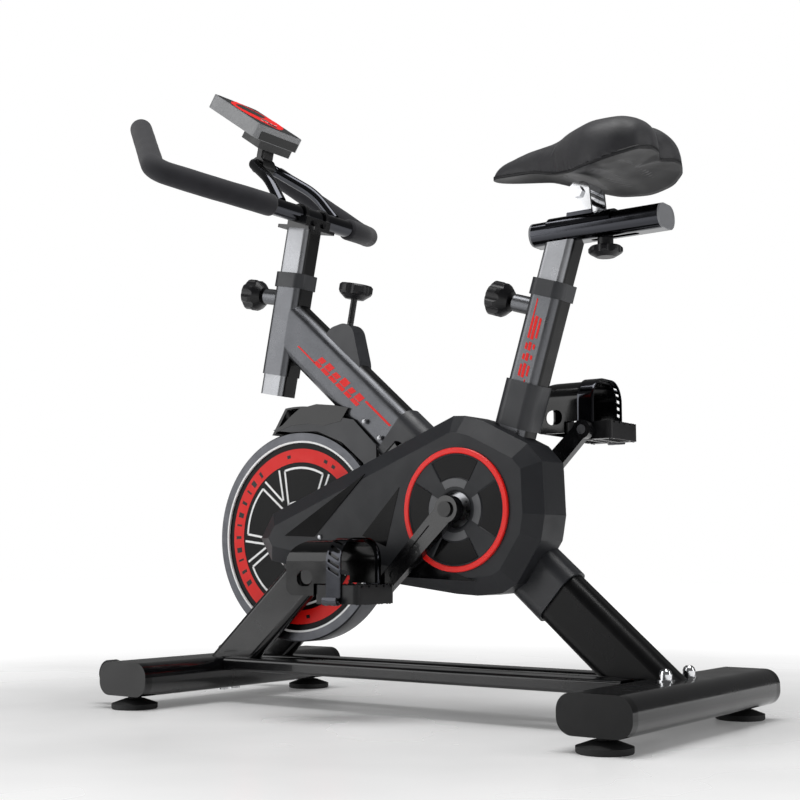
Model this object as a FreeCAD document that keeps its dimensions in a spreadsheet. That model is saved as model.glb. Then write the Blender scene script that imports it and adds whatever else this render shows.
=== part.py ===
import FreeCAD, Part
import math
import os
import Sketcher
from FreeCAD import Placement, Rotation, Vector

# Indoor spin bike, in millimetres. +X points to the rear (saddle), -Y is the rider's left (belt side),
# +Z is up. The origin lies on the floor, at the middle of the four levelling feet.

DOC = FreeCAD.newDocument("SpinBike")
SHEET = DOC.addObject("Spreadsheet::Sheet", "Sizes")

SIZES = [
    # base
    ("foot_row_gap", 795, "front feet to rear feet, which is also stabiliser to stabiliser"),
    ("foot_side_gap", 410, "left feet to right feet"),
    ("stabiliser_length", 463, "over the end caps"),
    ("stabiliser_deep", 100, "flat-oval tube, along X"),
    ("stabiliser_tall", 50, "flat-oval tube, along Z"),
    ("stabiliser_round", 21, "corner radius of the flat oval"),
    ("stabiliser_under", 20, "floor to the underside of the tube"),
    ("cap_out", 14, "end cap that stands out of the tube"),
    ("cap_in", 5, "end cap that plugs into the tube"),
    ("tube_wall", 2, "wall of every frame tube"),
    ("oval_round", 18, "corner radius of the big frame tubes"),
    ("base_rail_wide", 40, "along Y"),
    ("base_rail_tall", 20, "along Z"),
    ("base_rail_offset", 45, "centre plane of the bike to the middle of a rail"),
    ("foot_round", 69, "diameter of a rubber foot"),
    ("foot_rim", 8, "height of the foot's straight edge"),
    ("foot_cone_top", 30, "diameter of the foot where its cone ends"),
    ("stud_radius", 5, "M10 studs and bolts"),
    ("stud_free", 0.06, "radial play of a stud in its hole"),
    ("bolt_offset", 14, "centre plane to a front stabiliser bolt, between the legs"),
    ("rear_bolt_offset", 36, "centre plane to a rear stabiliser bolt, beside the backbone"),
    ("wheel_radius", 21, "transport wheel"),
    ("wheel_wide", 20, "transport wheel, along Y"),
    ("wheel_offset", 185, "centre plane to a transport wheel"),
    ("wheel_ahead", 24, "front face of the stabiliser to the transport axle"),
    ("wheel_rise", 47, "floor to the transport axle"),
    # main frame
    ("bracket_x", 98, "crank axis"),
    ("bracket_z", 294, "crank axis above the floor"),
    ("bracket_above", 8, "crank axis above the backbone's centre line"),
    ("backbone_slope", 41, "degrees down to the rear"),
    ("backbone_deep", 80, "oval tube, in the side view"),
    ("backbone_wide", 45, "oval tube, along Y"),
    ("head_lean", 11.3, "degrees, top to the rear"),
    ("head_x", -258, "middle of the head sleeve's top"),
    ("head_z", 683.5, "middle of the head sleeve's top"),
    ("head_length", 164, "head sleeve"),
    ("head_deep", 54, "head sleeve, in the side view"),
    ("seat_lean", 17.4, "degrees, top to the rear"),
    ("seat_x", 223, "middle of the seat sleeve's top"),
    ("seat_z", 612, "middle of the seat sleeve's top"),
    ("seat_deep", 51, "seat sleeve, in the side view"),
    ("sleeve_wide", 45, "both sleeves, along Y"),
    ("sleeve_round", 12, "corner radius of the sleeves"),
    ("post_free", 0.5, "gap all round between a post and its sleeve"),
    ("collar_tall", 24, "plastic collar on a sleeve"),
    ("collar_thick", 3, "collar wall outside the sleeve"),
    ("leg_slope", 41.9, "degrees, front legs in the side view"),
    ("leg_deep", 65, "front leg, in the side view"),
    ("leg_thick", 22, "front leg, along Y"),
    ("leg_inner", 28, "centre plane to the inner face of a leg"),
    ("leg_x", -324, "a point on the leg's centre line"),
    ("leg_z", 89, "a point on the leg's centre line"),
    ("bridge_radius", 19, "cross tube that joins the legs to the backbone"),
    # wheel and drive
    ("axle_x", -234, "flywheel axis"),
    ("axle_z", 261, "flywheel axis"),
    ("flywheel_radius", 165, "flywheel"),
    ("flywheel_half", 21, "half of the flywheel's thickness"),
    ("dropout_thick", 12, "bearing plate on a leg"),
    ("dropout_round", 28, "radius of the bearing plate's nose"),
    ("bearing_bore", 8.5, "radius"),
    ("bearing_outer", 20, "radius"),
    ("bearing_thick", 12, "along the shaft"),
    ("shaft_free", 0.05, "radial play of a shaft in its bearing"),
    ("shell_radius", 25, "bottom bracket shell"),
    ("shell_half", 37, "half of the shell's length"),
    ("crank_pulley_radius", 80, "belt pulley on the crank"),
    ("axle_pulley_radius", 20, "belt pulley on the flywheel shaft"),
    ("pulley_inner", 52, "centre plane to the pulleys' inner face"),
    ("pulley_wide", 8, "pulleys, along Y"),
    ("belt_thick", 2.5, "drive belt"),
    ("crank_length", 170, "crank axis to pedal axis"),
    ("crank_angle", 44, "degrees, left crank below the front horizontal"),
    ("crank_inner", 77, "centre plane to the crank arms"),
    ("crank_thick", 14, "crank arm, along Y"),
    ("crank_hub", 19, "radius of the arm's big end"),
    ("crank_eye", 14, "radius of the arm's pedal end"),
    ("pedal_axle_radius", 7, "pedal axle"),
    ("pedal_gap", 6, "crank arm to the pedal"),
    ("pedal_wide", 88, "pedal, along Y"),
    ("pedal_deep", 76, "pedal, along X"),
    ("pedal_tall", 26, "pedal, along Z"),
    ("cage_reach", 52, "toe cage ahead of the pedal"),
    ("cage_tall", 78, "toe cage above the pedal"),
    ("cage_wall", 3, "toe cage"),
    ("strap_wide", 26, "toe strap, along X"),
    ("strap_thick", 2, "toe strap"),
    # cover
    ("cover_wall", 2.5, "belt cover shells"),
    ("cover_face", 68, "centre plane to the left cover's flat face"),
    ("cover_edge", 51, "centre plane to where the left cover's bevel starts"),
    ("cover_bevel", 25, "width of the bevel"),
    ("cover_right", 54, "centre plane to the right cover's face"),
    ("ring_outer", 87.5, "radius of the trim ring"),
    ("ring_wide", 8, "trim ring"),
    ("ring_out", 4, "trim ring above the cover's face"),
    ("disc_out", 2.5, "trim disc above the cover's face"),
    # seat
    ("rail_x", 199, "front end of the seat rail"),
    ("rail_length", 196, "seat rail"),
    ("rail_rise", 56, "seat sleeve's top to the underside of the seat rail"),
    ("rail_tall", 34, "seat rail"),
    ("rail_wide", 50, "seat rail"),
    ("rail_round", 16, "corner radius of the seat rail"),
    ("slider_x", 225, "front end of the slider"),
    ("slider_length", 100, "slider"),
    ("slider_wall", 3, "slider"),
    ("slider_free", 0.4, "gap between the slider and the rail"),
    ("slider_travel", 30, "each way from the middle of the slot"),
    ("slider_rest", 15, "slider's rest place ahead of the middle of the slot"),
    ("clamp_x", 305, "clamp knob under the rail"),
    ("clamp_drop", 27, "rail's underside to the underside of the clamp knob"),
    ("clamp_knob_tall", 15, "clamp knob"),
    ("tilt_x", 277, "saddle tilt bolt"),
    ("tilt_rise", 31, "rail's top to the saddle tilt bolt"),
    ("saddle_nose", 123, "front of the saddle"),
    ("saddle_length", 281, "saddle"),
    ("saddle_half", 100, "half of the saddle's width"),
    ("saddle_rise", 9, "tilt bolt to the lowest point of the saddle"),
    ("saddle_tall", 85, "saddle"),
    # handlebar
    ("bar_x", -231, "crossbar"),
    ("bar_rise", 95.5, "head sleeve's top to the crossbar"),
    ("bar_radius", 14, "handlebar tube"),
    ("grip_radius", 18, "foam grip"),
    ("grip_start", 95, "centre plane to the start of a grip"),
    ("loop_radius", 9, "tube of the console loop"),
    ("post_below", 33, "bar post that stands out under its sleeve"),
    ("post_above", 76, "bar post that stands out over its sleeve"),
    ("seat_post_in", 190, "seat post inside its sleeve"),
    ("hole_pitch", 25, "height holes in the posts"),
    ("pin_radius", 5, "pop pin"),
    ("pin_drop", 37, "sleeve's top to the pop pin"),
    ("pin_boss_long", 30, "threaded boss that the pop pin slides in"),
    ("pin_standoff", 7, "knob to boss with the pin drawn clear of the post"),
    ("pin_knob_radius", 26, "pop pin knob"),
    ("pin_knob_long", 33, "pop pin knob"),
    ("console_long", 135, "console, along its face"),
    ("console_wide", 107, "console, along Y"),
    ("console_thick", 24, "console"),
    ("console_tilt", 35, "degrees"),
    ("brake_lean", 11, "degrees, top to the rear"),
    ("brake_rod_radius", 5, "brake rod"),
    ("brake_x", -146, "where the brake rod leaves its housing"),
    ("brake_z", 593, "where the brake rod leaves its housing"),
    ("brake_gap", 5, "brake pad to the flywheel at rest"),
    ("brake_knob_radius", 27, "brake knob"),
]


class Size:
    """A number together with the sheet expression that it comes from."""

    def __init__(self, number, text):
        self.number = number
        self.text = text

    def join(self, other, sign, number, swap=False):
        first, second = self.text, as_text(other)
        if swap:
            first, second = second, first
        return Size(number, "(" + first + sign + second + ")")

    def __add__(self, other):
        return self.join(other, " + ", self.number + float(other))

    def __radd__(self, other):
        return self.join(other, " + ", other + self.number, swap=True)

    def __sub__(self, other):
        return self.join(other, " - ", self.number - float(other))

    def __rsub__(self, other):
        return self.join(other, " - ", other - self.number, swap=True)

    def __mul__(self, other):
        return self.join(other, " * ", self.number * float(other))

    def __rmul__(self, other):
        return self.join(other, " * ", other * self.number, swap=True)

    def __truediv__(self, other):
        return self.join(other, " / ", self.number / float(other))

    def __neg__(self):
        return Size(-self.number, "(0 - " + self.text + ")")

    def __float__(self):
        return float(self.number)


def as_text(value):
    return value.text if isinstance(value, Size) else repr(float(value))


def fill_sheet():
    """Put each size in the sheet, with its alias and its meaning, and give them back by name."""
    sizes = {}
    for row, (alias, number, meaning) in enumerate(SIZES, start=1):
        SHEET.set("A%d" % row, alias)
        SHEET.set("B%d" % row, str(number))
        SHEET.set("C%d" % row, meaning)
        SHEET.setAlias("B%d" % row, alias)
        sizes[alias] = Size(float(number), "Sizes." + alias)
    DOC.recompute()
    return sizes


D = fill_sheet()
NODES = []


def sine(degrees):
    return math.sin(math.radians(degrees))


def cosine(degrees):
    return math.cos(math.radians(degrees))


# ---------------------------------------------------------------- document helpers

def node(item):
    """Keep an object as one sub-part of the bike."""
    NODES.append(item)
    return item


def bind(item, name, value):
    """Set a property to a size, and keep it tied to the sheet."""
    setattr(item, name, float(value))
    if isinstance(value, Size):
        item.setExpression(name, value.text)


def plane_of(body, role):
    for feature in body.Origin.OriginFeatures:
        if feature.Role == role:
            return feature
    raise ValueError(role)


def new_sketch(body, role, corners):
    """A closed outline of straight lines on one of the body's own planes; each corner is tied to the sheet."""
    sketch = body.newObject("Sketcher::SketchObject", body.Name + "_outline")
    sketch.AttachmentSupport = [(plane_of(body, role), "")]
    sketch.MapMode = "FlatFace"
    points = [Vector(float(across), float(up), 0) for across, up in corners]
    count = len(points)
    for index in range(count):
        sketch.addGeometry(Part.LineSegment(points[index], points[(index + 1) % count]), False)
    for index in range(count):
        sketch.addConstraint(Sketcher.Constraint("Coincident", index, 2, (index + 1) % count, 1))
    for index, corner in enumerate(corners):
        for kind, value in zip(("DistanceX", "DistanceY"), corner):
            place = sketch.addConstraint(Sketcher.Constraint(kind, -1, 1, index, 1, float(value)))
            if isinstance(value, Size):
                sketch.setExpression("Constraints[%d]" % place, value.text)
    return sketch


def prism(label, corners, length, role="XY_Plane", middle=False, rounds=None, place=None):
    """An outline pushed along its plane's normal; rounds gives corner number to radius."""
    body = DOC.addObject("PartDesign::Body", label)
    sketch = new_sketch(body, role, corners)
    pad = body.newObject("PartDesign::Pad", label + "_pad")
    pad.Profile = sketch
    bind(pad, "Length", length)
    pad.Midplane = middle
    body.Tip = pad
    DOC.recompute()
    tip = pad
    for radius, wanted in group_rounds(rounds).items():
        names = long_edges(tip.Shape, role, [corners[index] for index in wanted])
        fillet = body.newObject("PartDesign::Fillet", label + "_round")
        fillet.Base = (tip, names)
        bind(fillet, "Radius", radius)
        body.Tip = fillet
        DOC.recompute()
        tip = fillet
    if place is not None:
        body.Placement = place
    return body


def group_rounds(rounds):
    groups = {}
    for index, radius in (rounds or {}).items():
        groups.setdefault(radius, []).append(index)
    return groups


def long_edges(shape, role, corners):
    """Names of the edges that stand on the given corners of the outline."""
    names = []
    for number, edge in enumerate(shape.Edges, start=1):
        ends = [vertex.Point for vertex in edge.Vertexes]
        if len(ends) != 2:
            continue
        flat = [flatten(point, role) for point in ends]
        if (flat[0] - flat[1]).Length > 1e-6:
            continue
        for across, up in corners:
            if (flat[0] - Vector(float(across), float(up), 0)).Length < 1e-4:
                names.append("Edge%d" % number)
    return names


def flatten(point, role):
    if role == "XY_Plane":
        return Vector(point.x, point.y, 0)
    if role == "XZ_Plane":
        return Vector(point.x, point.z, 0)
    return Vector(point.y, point.z, 0)


def box_outline(wide, tall):
    return [(-wide / 2, -tall / 2), (wide / 2, -tall / 2), (wide / 2, tall / 2), (-wide / 2, tall / 2)]


def bar_of(label, wide, tall, length, radius, place, middle=False):
    """A straight solid with a rounded rectangle as its section, along its own Z."""
    rounds = {index: radius for index in range(4)}
    return prism(label, box_outline(wide, tall), length, rounds=rounds, place=place, middle=middle)


def turned(label, corners, place=None):
    """A solid of revolution about its own Z; corners are radius and height."""
    body = DOC.addObject("PartDesign::Body", label)
    sketch = new_sketch(body, "XZ_Plane", corners)
    spin = body.newObject("PartDesign::Revolution", label + "_turn")
    spin.Profile = sketch
    spin.ReferenceAxis = (sketch, ["V_Axis"])
    spin.Angle = 360
    body.Tip = spin
    DOC.recompute()
    if place is not None:
        body.Placement = place
    return body


def rod(label, radius, length, place):
    item = DOC.addObject("Part::Cylinder", label)
    bind(item, "Radius", radius)
    bind(item, "Height", length)
    item.Placement = place
    return item


def block(label, long, wide, tall, place):
    item = DOC.addObject("Part::Box", label)
    bind(item, "Length", long)
    bind(item, "Width", wide)
    bind(item, "Height", tall)
    item.Placement = place
    return item


def fuse(label, *pieces):
    item = DOC.addObject("Part::MultiFuse", label)
    item.Shapes = list(pieces)
    item.Refine = True
    DOC.recompute()
    return item


def gather(label, *pieces):
    """Identical or bolted-on pieces that stay separate solids in one sub-part."""
    item = DOC.addObject("Part::Compound", label)
    item.Links = list(pieces)
    DOC.recompute()
    return item


def cut(label, base, *tools):
    item = DOC.addObject("Part::Cut", label)
    item.Base = base
    item.Tool = tools[0] if len(tools) == 1 else fuse(label + "_tools", *tools)
    DOC.recompute()
    return item


def common(label, first, second):
    item = DOC.addObject("Part::Common", label)
    item.Base = first
    item.Tool = second
    DOC.recompute()
    return item


def made(label, shape):
    """A swept or lofted shape that sketches and primitives can't give."""
    item = DOC.addObject("Part::Feature", label)
    item.Shape = shape
    item.Placement = Placement()
    return item


# ---------------------------------------------------------------- places

def at(x, y, z):
    return Placement(Vector(float(x), float(y), float(z)), Rotation())


def leaning(x, y, z, degrees):
    """A place whose own Z leans to the rear by the angle."""
    turn = Rotation(Vector(0, 1, 0), float(degrees))
    return Placement(Vector(float(x), float(y), float(z)), turn)


def across(x, y, z):
    """A place whose own Z points along +Y, and whose own X stays along X."""
    return Placement(Vector(float(x), float(y), float(z)), Rotation(Vector(1, 0, 0), -90))


def outward(side, x, y, z):
    """A place on one side of the bike whose own Z points away from the centre plane."""
    turn = Rotation(Vector(1, 0, 0), -90 * side)
    return Placement(Vector(float(x), float(y), float(z)), turn)


def along(place, distance, sideways=0.0):
    """Move a place along its own Z and X."""
    step = place.Rotation.multVec(Vector(float(sideways), 0, float(distance)))
    return Placement(place.Base + step, place.Rotation)


def meet(first, first_way, second, second_way):
    """Distance along the first line to where it crosses the second, in the side view."""
    gap_x, gap_z = second[0] - first[0], second[1] - first[1]
    det = -first_way[0] * second_way[1] + first_way[1] * second_way[0]
    return (-gap_x * second_way[1] + gap_z * second_way[0]) / det


N = {name: float(value) for name, value in D.items()}
RAIL_Z = N["seat_z"] + N["rail_rise"]
TILT_Z = RAIL_Z + N["rail_tall"] + N["tilt_rise"]
SADDLE_LOW = TILT_Z + N["saddle_rise"]
BAR_Z = N["head_z"] + N["bar_rise"]
STABILISER_X = D["foot_row_gap"] / 2
STABILISER_TOP = D["stabiliser_under"] + D["stabiliser_tall"]
STABILISER_MID = D["stabiliser_under"] + D["stabiliser_tall"] / 2
ENDS = (("front", -1), ("rear", 1))
SIDES = (("left", -1), ("right", 1))
AXLE = (N["axle_x"], N["axle_z"])
BRACKET = (N["bracket_x"], N["bracket_z"])

HEAD = leaning(N["head_x"], 0, N["head_z"], N["head_lean"])
SEAT = leaning(N["seat_x"], 0, N["seat_z"], N["seat_lean"])
BACKBONE_MID = (N["bracket_x"], N["bracket_z"] - N["bracket_above"])
BACKBONE_WAY = (-cosine(N["backbone_slope"]), sine(N["backbone_slope"]))
HEAD_WAY = (sine(N["head_lean"]), cosine(N["head_lean"]))
SEAT_WAY = (sine(N["seat_lean"]), cosine(N["seat_lean"]))
LEG_WAY = (cosine(N["leg_slope"]), sine(N["leg_slope"]))
LEG_TURN = 90 - N["leg_slope"]
BACKBONE_TURN = N["backbone_slope"] - 90


# ---------------------------------------------------------------- base

def stabiliser_section(grow):
    wide = D["stabiliser_tall"] + 2 * grow
    deep = D["stabiliser_deep"] + 2 * grow
    return deep, wide, D["stabiliser_round"] + grow


def bolt_offset(sign):
    return N["bolt_offset"] if sign < 0 else N["rear_bolt_offset"]


def make_stabilisers():
    """Two flat-oval tubes across the bike, with plastic end caps, bolts and holes for the feet."""
    tube_long = D["stabiliser_length"] - 2 * D["cap_out"]
    caps = []
    for end, sign in ENDS:
        centre = across(sign * N["foot_row_gap"] / 2, -float(tube_long) / 2, float(STABILISER_MID))
        deep, wide, radius = stabiliser_section(0)
        outer = bar_of(end + "_stabiliser_outer", deep, wide, tube_long, radius, centre)
        deep, wide, radius = stabiliser_section(-1 * D["tube_wall"])
        inner = bar_of(end + "_stabiliser_inner", deep, wide, tube_long, radius, centre)
        holes = []
        for side, way in SIDES:
            place = at(sign * N["foot_row_gap"] / 2, way * N["foot_side_gap"] / 2, 0)
            holes.append(rod(end + side + "_foot_hole", D["stud_radius"] + D["stud_free"],
                             STABILISER_MID, place))
            place = at(sign * N["foot_row_gap"] / 2, way * bolt_offset(sign), 0)
            holes.append(rod(end + side + "_bolt_hole", D["stud_radius"], STABILISER_TOP + 5, place))
        node(cut(end + "_stabiliser", outer, inner, *holes))
        caps += make_caps(end, sign, tube_long)
    node(gather("stabiliser_caps", *caps))


def make_caps(end, sign, tube_long):
    """A cap has a face that covers the tube's end and a plug that goes into it."""
    caps = []
    for side, way in SIDES:
        place = outward(way, sign * N["foot_row_gap"] / 2, way * float(tube_long) / 2, float(STABILISER_MID))
        deep, wide, radius = stabiliser_section(0)
        face = bar_of(end + side + "_cap_face", deep, wide, D["cap_out"], radius, place)
        deep, wide, radius = stabiliser_section(-1 * D["tube_wall"])
        plug = bar_of(end + side + "_cap_plug", deep, wide, D["cap_in"], radius,
                      along(place, -N["cap_in"]))
        caps.append(fuse(end + side + "_cap", face, plug))
    return caps


def make_bolts():
    """Four bolts through each pair of stabiliser walls, each with a domed nut and a washer."""
    bolts = []
    for end, sign in ENDS:
        for side, way in SIDES:
            place = at(sign * N["foot_row_gap"] / 2, way * bolt_offset(sign), N["stabiliser_under"] - 6)
            shank = D["stud_radius"]
            top = D["stabiliser_tall"] + 6
            outline = [(0, 0), (9, 0), (9, 6), (shank, 6), (shank, top), (11, top), (11, top + 2),
                       (8.5, top + 2), (8.5, top + 9), (7, top + 13), (4, top + 15.5), (0, top + 16)]
            bolts.append(turned(end + side + "_bolt", outline, place))
    node(gather("stabiliser_bolts", *bolts))


def make_base_rails():
    """Two flat tubes that tie the stabilisers together; the front legs stand on them."""
    length = D["foot_row_gap"] - D["stabiliser_deep"]
    rails = []
    for side, way in SIDES:
        place = Placement(Vector(-float(length) / 2, way * N["base_rail_offset"],
                                 float(STABILISER_TOP) - N["base_rail_tall"] / 2),
                          Rotation(Vector(0, 1, 0), 90))
        outer = bar_of(side + "_rail_outer", D["base_rail_tall"], D["base_rail_wide"], length, 5, place)
        inner = bar_of(side + "_rail_inner", D["base_rail_tall"] - 2 * D["tube_wall"],
                       D["base_rail_wide"] - 2 * D["tube_wall"], length, 3, place)
        rails.append(cut(side + "_rail", outer, inner))
    oval = [bar_of(end + "_rail_stop", *stabiliser_section(0)[:2], D["stabiliser_length"],
                   stabiliser_section(0)[2],
                   across(sign * N["foot_row_gap"] / 2, -N["stabiliser_length"] / 2, float(STABILISER_MID)))
            for end, sign in ENDS]
    node(cut("base_rails", gather("rail_pair", *rails), *oval))


def make_feet():
    """Rubber levelling feet, each on a threaded stud with a lock nut."""
    for end, sign in ENDS:
        for side, way in SIDES:
            place = at(sign * N["foot_row_gap"] / 2, way * N["foot_side_gap"] / 2, 0)
            rim, cone = D["foot_round"] / 2, D["foot_cone_top"] / 2
            outline = [(0, 0), (rim - 1.5, 0), (rim, 1.5), (rim, D["foot_rim"]), (cone, 15), (10, 15),
                       (10, 19.6), (D["stud_radius"], 19.6), (D["stud_radius"], STABILISER_MID - 1),
                       (0, STABILISER_MID - 1)]
            node(turned("levelling_foot_%s_%s" % (end, side), outline, place))


def make_transport():
    """Two small wheels in forks on the front face of the front stabiliser."""
    face = -N["foot_row_gap"] / 2 - N["stabiliser_deep"] / 2
    axle_x = face - N["wheel_ahead"]
    wheels, forks = [], []
    for side, way in SIDES:
        mid = way * N["wheel_offset"]
        outline = [(5.06, -D["wheel_wide"] / 2), (D["wheel_radius"] - 2, -D["wheel_wide"] / 2),
                   (D["wheel_radius"], 2 - D["wheel_wide"] / 2), (D["wheel_radius"], D["wheel_wide"] / 2 - 2),
                   (D["wheel_radius"] - 2, D["wheel_wide"] / 2), (5.06, D["wheel_wide"] / 2)]
        wheels.append(turned(side + "_wheel", outline, across(axle_x, mid, N["wheel_rise"])))
        cheeks = []
        for cheek in (-1, 1):
            y = mid + cheek * (N["wheel_wide"] / 2 + 2.5)
            corners = [(axle_x - 9, N["wheel_rise"] - 9), (axle_x + 9, N["wheel_rise"] - 9),
                       (face + 24, N["wheel_rise"] - 4), (face + 24, N["wheel_rise"] + 9),
                       (axle_x - 9, N["wheel_rise"] + 9)]
            cheeks.append(prism("%s_cheek_%d" % (side, cheek + 1), corners, 3, role="XZ_Plane", middle=True,
                                rounds={0: 8, 4: 8}, place=at(0, y, 0)))
        spindle = rod(side + "_wheel_axle", 5, D["wheel_wide"] + 12,
                      across(axle_x, mid - N["wheel_wide"] / 2 - 6, N["wheel_rise"]))
        forks.append(fuse(side + "_wheel_fork", spindle, *cheeks))
    oval = bar_of("fork_stop", *stabiliser_section(0)[:2], D["stabiliser_length"], stabiliser_section(0)[2],
                  across(-N["foot_row_gap"] / 2, -N["stabiliser_length"] / 2, float(STABILISER_MID)))
    node(gather("transport_wheels", *wheels))
    node(cut("transport_bracket", gather("fork_pair", *forks), oval))


# ---------------------------------------------------------------- main frame

def oval_bar(label, deep, wide, radius, start, length):
    return bar_of(label, deep, wide, length, radius, start)


def backbone_start():
    """Below the stabiliser's top, so that a level cut there leaves a clean foot."""
    half = N["backbone_deep"] / 2
    slope = N["backbone_slope"]
    down = (BACKBONE_MID[1] - float(STABILISER_TOP) + half * cosine(slope)) / sine(slope) + 6
    x = BACKBONE_MID[0] - BACKBONE_WAY[0] * down
    z = BACKBONE_MID[1] - BACKBONE_WAY[1] * down
    return leaning(x, 0, z, BACKBONE_TURN), down


def backbone_length():
    place, down = backbone_start()
    up = meet(BACKBONE_MID, BACKBONE_WAY, (N["head_x"], N["head_z"]), HEAD_WAY)
    return place, down + up


def backbone_bar(label, grow):
    place, length = backbone_length()
    return oval_bar(label, D["backbone_deep"] + 2 * grow, D["backbone_wide"] + 2 * grow,
                    D["oval_round"] + grow, place, length)


def head_bar(label, grow, extra=0.0):
    place = along(HEAD, -N["head_length"] - extra)
    return oval_bar(label, D["head_deep"] + 2 * grow, D["sleeve_wide"] + 2 * grow,
                    D["sleeve_round"] + grow, place, D["head_length"] + 2 * extra)


def seat_sleeve_length():
    return -meet((N["seat_x"], N["seat_z"]), SEAT_WAY, BACKBONE_MID, BACKBONE_WAY)


def seat_bar(label, grow, extra=0.0):
    length = seat_sleeve_length()
    place = along(SEAT, -length)
    return oval_bar(label, D["seat_deep"] + 2 * grow, D["sleeve_wide"] + 2 * grow,
                    D["sleeve_round"] + grow, place, length + extra)


def floor_block(label, top):
    return block(label, 1400, 600, 400, at(-700, -300, float(top) - 400))


def leg_bar(label, way, grow):
    """One flat leg, from below the stabiliser's top to the cross tube."""
    leg_top = meet((N["leg_x"], N["leg_z"]), LEG_WAY, BACKBONE_MID, BACKBONE_WAY)
    start = (N["leg_z"] - float(STABILISER_TOP) + N["leg_deep"]) / LEG_WAY[1]
    x = N["leg_x"] - LEG_WAY[0] * start
    z = N["leg_z"] - LEG_WAY[1] * start
    y = way * (N["leg_inner"] + N["leg_thick"] / 2)
    place = leaning(x, y, z, LEG_TURN)
    return bar_of(label, D["leg_deep"] + 2 * grow, D["leg_thick"] + 2 * grow, start + leg_top,
                  9 + grow, place)


def bridge_point():
    reach = meet((N["leg_x"], N["leg_z"]), LEG_WAY, BACKBONE_MID, BACKBONE_WAY)
    return N["leg_x"] + LEG_WAY[0] * reach, N["leg_z"] + LEG_WAY[1] * reach


def bridge_rod(label, grow):
    x, z = bridge_point()
    half = D["leg_inner"] + D["leg_thick"]
    return rod(label, D["bridge_radius"] + grow, 2 * half, across(x, -float(half), z))


def make_fork():
    """Two legs astride the flywheel, their cross tube and the two bearing plates, welded together."""
    pieces = [bridge_rod("bridge", 0)]
    for side, way in SIDES:
        outer = leg_bar(side + "_leg_outer", way, 0)
        inner = leg_bar(side + "_leg_inner", way, -1 * D["tube_wall"])
        pieces.append(cut(side + "_leg", outer, inner))
        pieces.append(bearing_plate(side, way))
    whole = fuse("fork_whole", *pieces)
    holes = [rod(side + "_bearing_hole", D["bearing_outer"], D["dropout_thick"] + 2,
                 outward(way, AXLE[0], way * (N["leg_inner"] - 1), AXLE[1])) for side, way in SIDES]
    hollow = rod("bridge_hollow", D["bridge_radius"] - D["tube_wall"], 2 * (D["leg_inner"] + D["leg_thick"]),
                 across(bridge_point()[0], -N["leg_inner"] - N["leg_thick"], bridge_point()[1]))
    node(cut("front_fork", whole, floor_block("fork_floor", STABILISER_TOP), hollow, *holes))


def bearing_plate(side, way):
    """A tapered plate from the leg to the flywheel bearing, flush with the leg's inner face."""
    reach = N["dropout_round"]
    base = leg_foot_of_axle()
    run = math.hypot(AXLE[0] - base[0], AXLE[1] - base[1])
    corners = [(-reach * 1.7, 0), (reach * 1.7, 0), (reach, run + reach), (-reach, run + reach)]
    turn = Rotation(Vector(0, 1, 0), N["leg_slope"] * -1)
    y = way * (N["leg_inner"] + N["dropout_thick"] / 2)
    place = Placement(Vector(base[0], y, base[1]), turn)
    return prism(side + "_dropout", corners, D["dropout_thick"], role="XZ_Plane", middle=True,
                 rounds={2: reach - 1, 3: reach - 1}, place=place)


def leg_foot_of_axle():
    """The point of the leg's centre line nearest to the flywheel axis."""
    gap = (AXLE[0] - N["leg_x"], AXLE[1] - N["leg_z"])
    reach = gap[0] * LEG_WAY[0] + gap[1] * LEG_WAY[1]
    return N["leg_x"] + LEG_WAY[0] * reach, N["leg_z"] + LEG_WAY[1] * reach


def shell_rod(label, radius, half):
    return rod(label, radius, 2 * half, across(BRACKET[0], -float(half), BRACKET[1]))


def brake_place(distance):
    """A place on the brake rod's line, measured up from the flywheel's rim."""
    lean = N["brake_lean"]
    top = (N["brake_x"], N["brake_z"])
    reach = rim_distance(top, (sine(lean), cosine(lean)))
    x = top[0] - sine(lean) * (reach - distance)
    z = top[1] - cosine(lean) * (reach - distance)
    return leaning(x, 0, z, lean)


def rim_distance(top, way):
    """From a point down a line to the flywheel's rim."""
    gap = (top[0] - AXLE[0], top[1] - AXLE[1])
    middle = gap[0] * way[0] + gap[1] * way[1]
    off = gap[0] * way[1] - gap[1] * way[0]
    return middle - math.sqrt(N["flywheel_radius"] ** 2 - off ** 2)


def brake_bore(label, radius):
    return rod(label, radius, 260, brake_place(4))


def make_frame():
    """The backbone, the two sleeves that the posts slide in, and the bottom bracket shell."""
    bore = D["brake_rod_radius"] + 0.3
    node(cut("backbone_tube", backbone_bar("backbone_outer", 0),
             backbone_bar("backbone_inner", -1 * D["tube_wall"]),
             head_bar("backbone_head", 0), floor_block("backbone_floor", STABILISER_TOP),
             shell_rod("backbone_shell", D["shell_radius"], D["shell_half"]),
             bridge_rod("backbone_bridge", 0), brake_bore("backbone_brake", bore)))
    head = fuse("head_welded", head_bar("head_outer", 0), pin_boss("head_boss", HEAD, D["head_deep"]))
    node(cut("head_sleeve", head, head_bar("head_inner", -1 * D["tube_wall"], 5),
             pin_hole("head_pin_hole", HEAD)))
    seat = fuse("seat_welded", seat_bar("seat_outer", 0), pin_boss("seat_boss", SEAT, D["seat_deep"]))
    node(cut("seat_sleeve", seat, seat_bar("seat_inner", -1 * D["tube_wall"], 5),
             backbone_bar("seat_backbone", 0), pin_hole("seat_pin_hole", SEAT),
             shell_rod("seat_shell", D["shell_radius"], D["shell_half"])))
    node(cut("bottom_bracket_shell", shell_rod("shell_outer", D["shell_radius"], D["shell_half"]),
             shell_rod("shell_hollow", D["bearing_outer"], D["shell_half"])))


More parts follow.
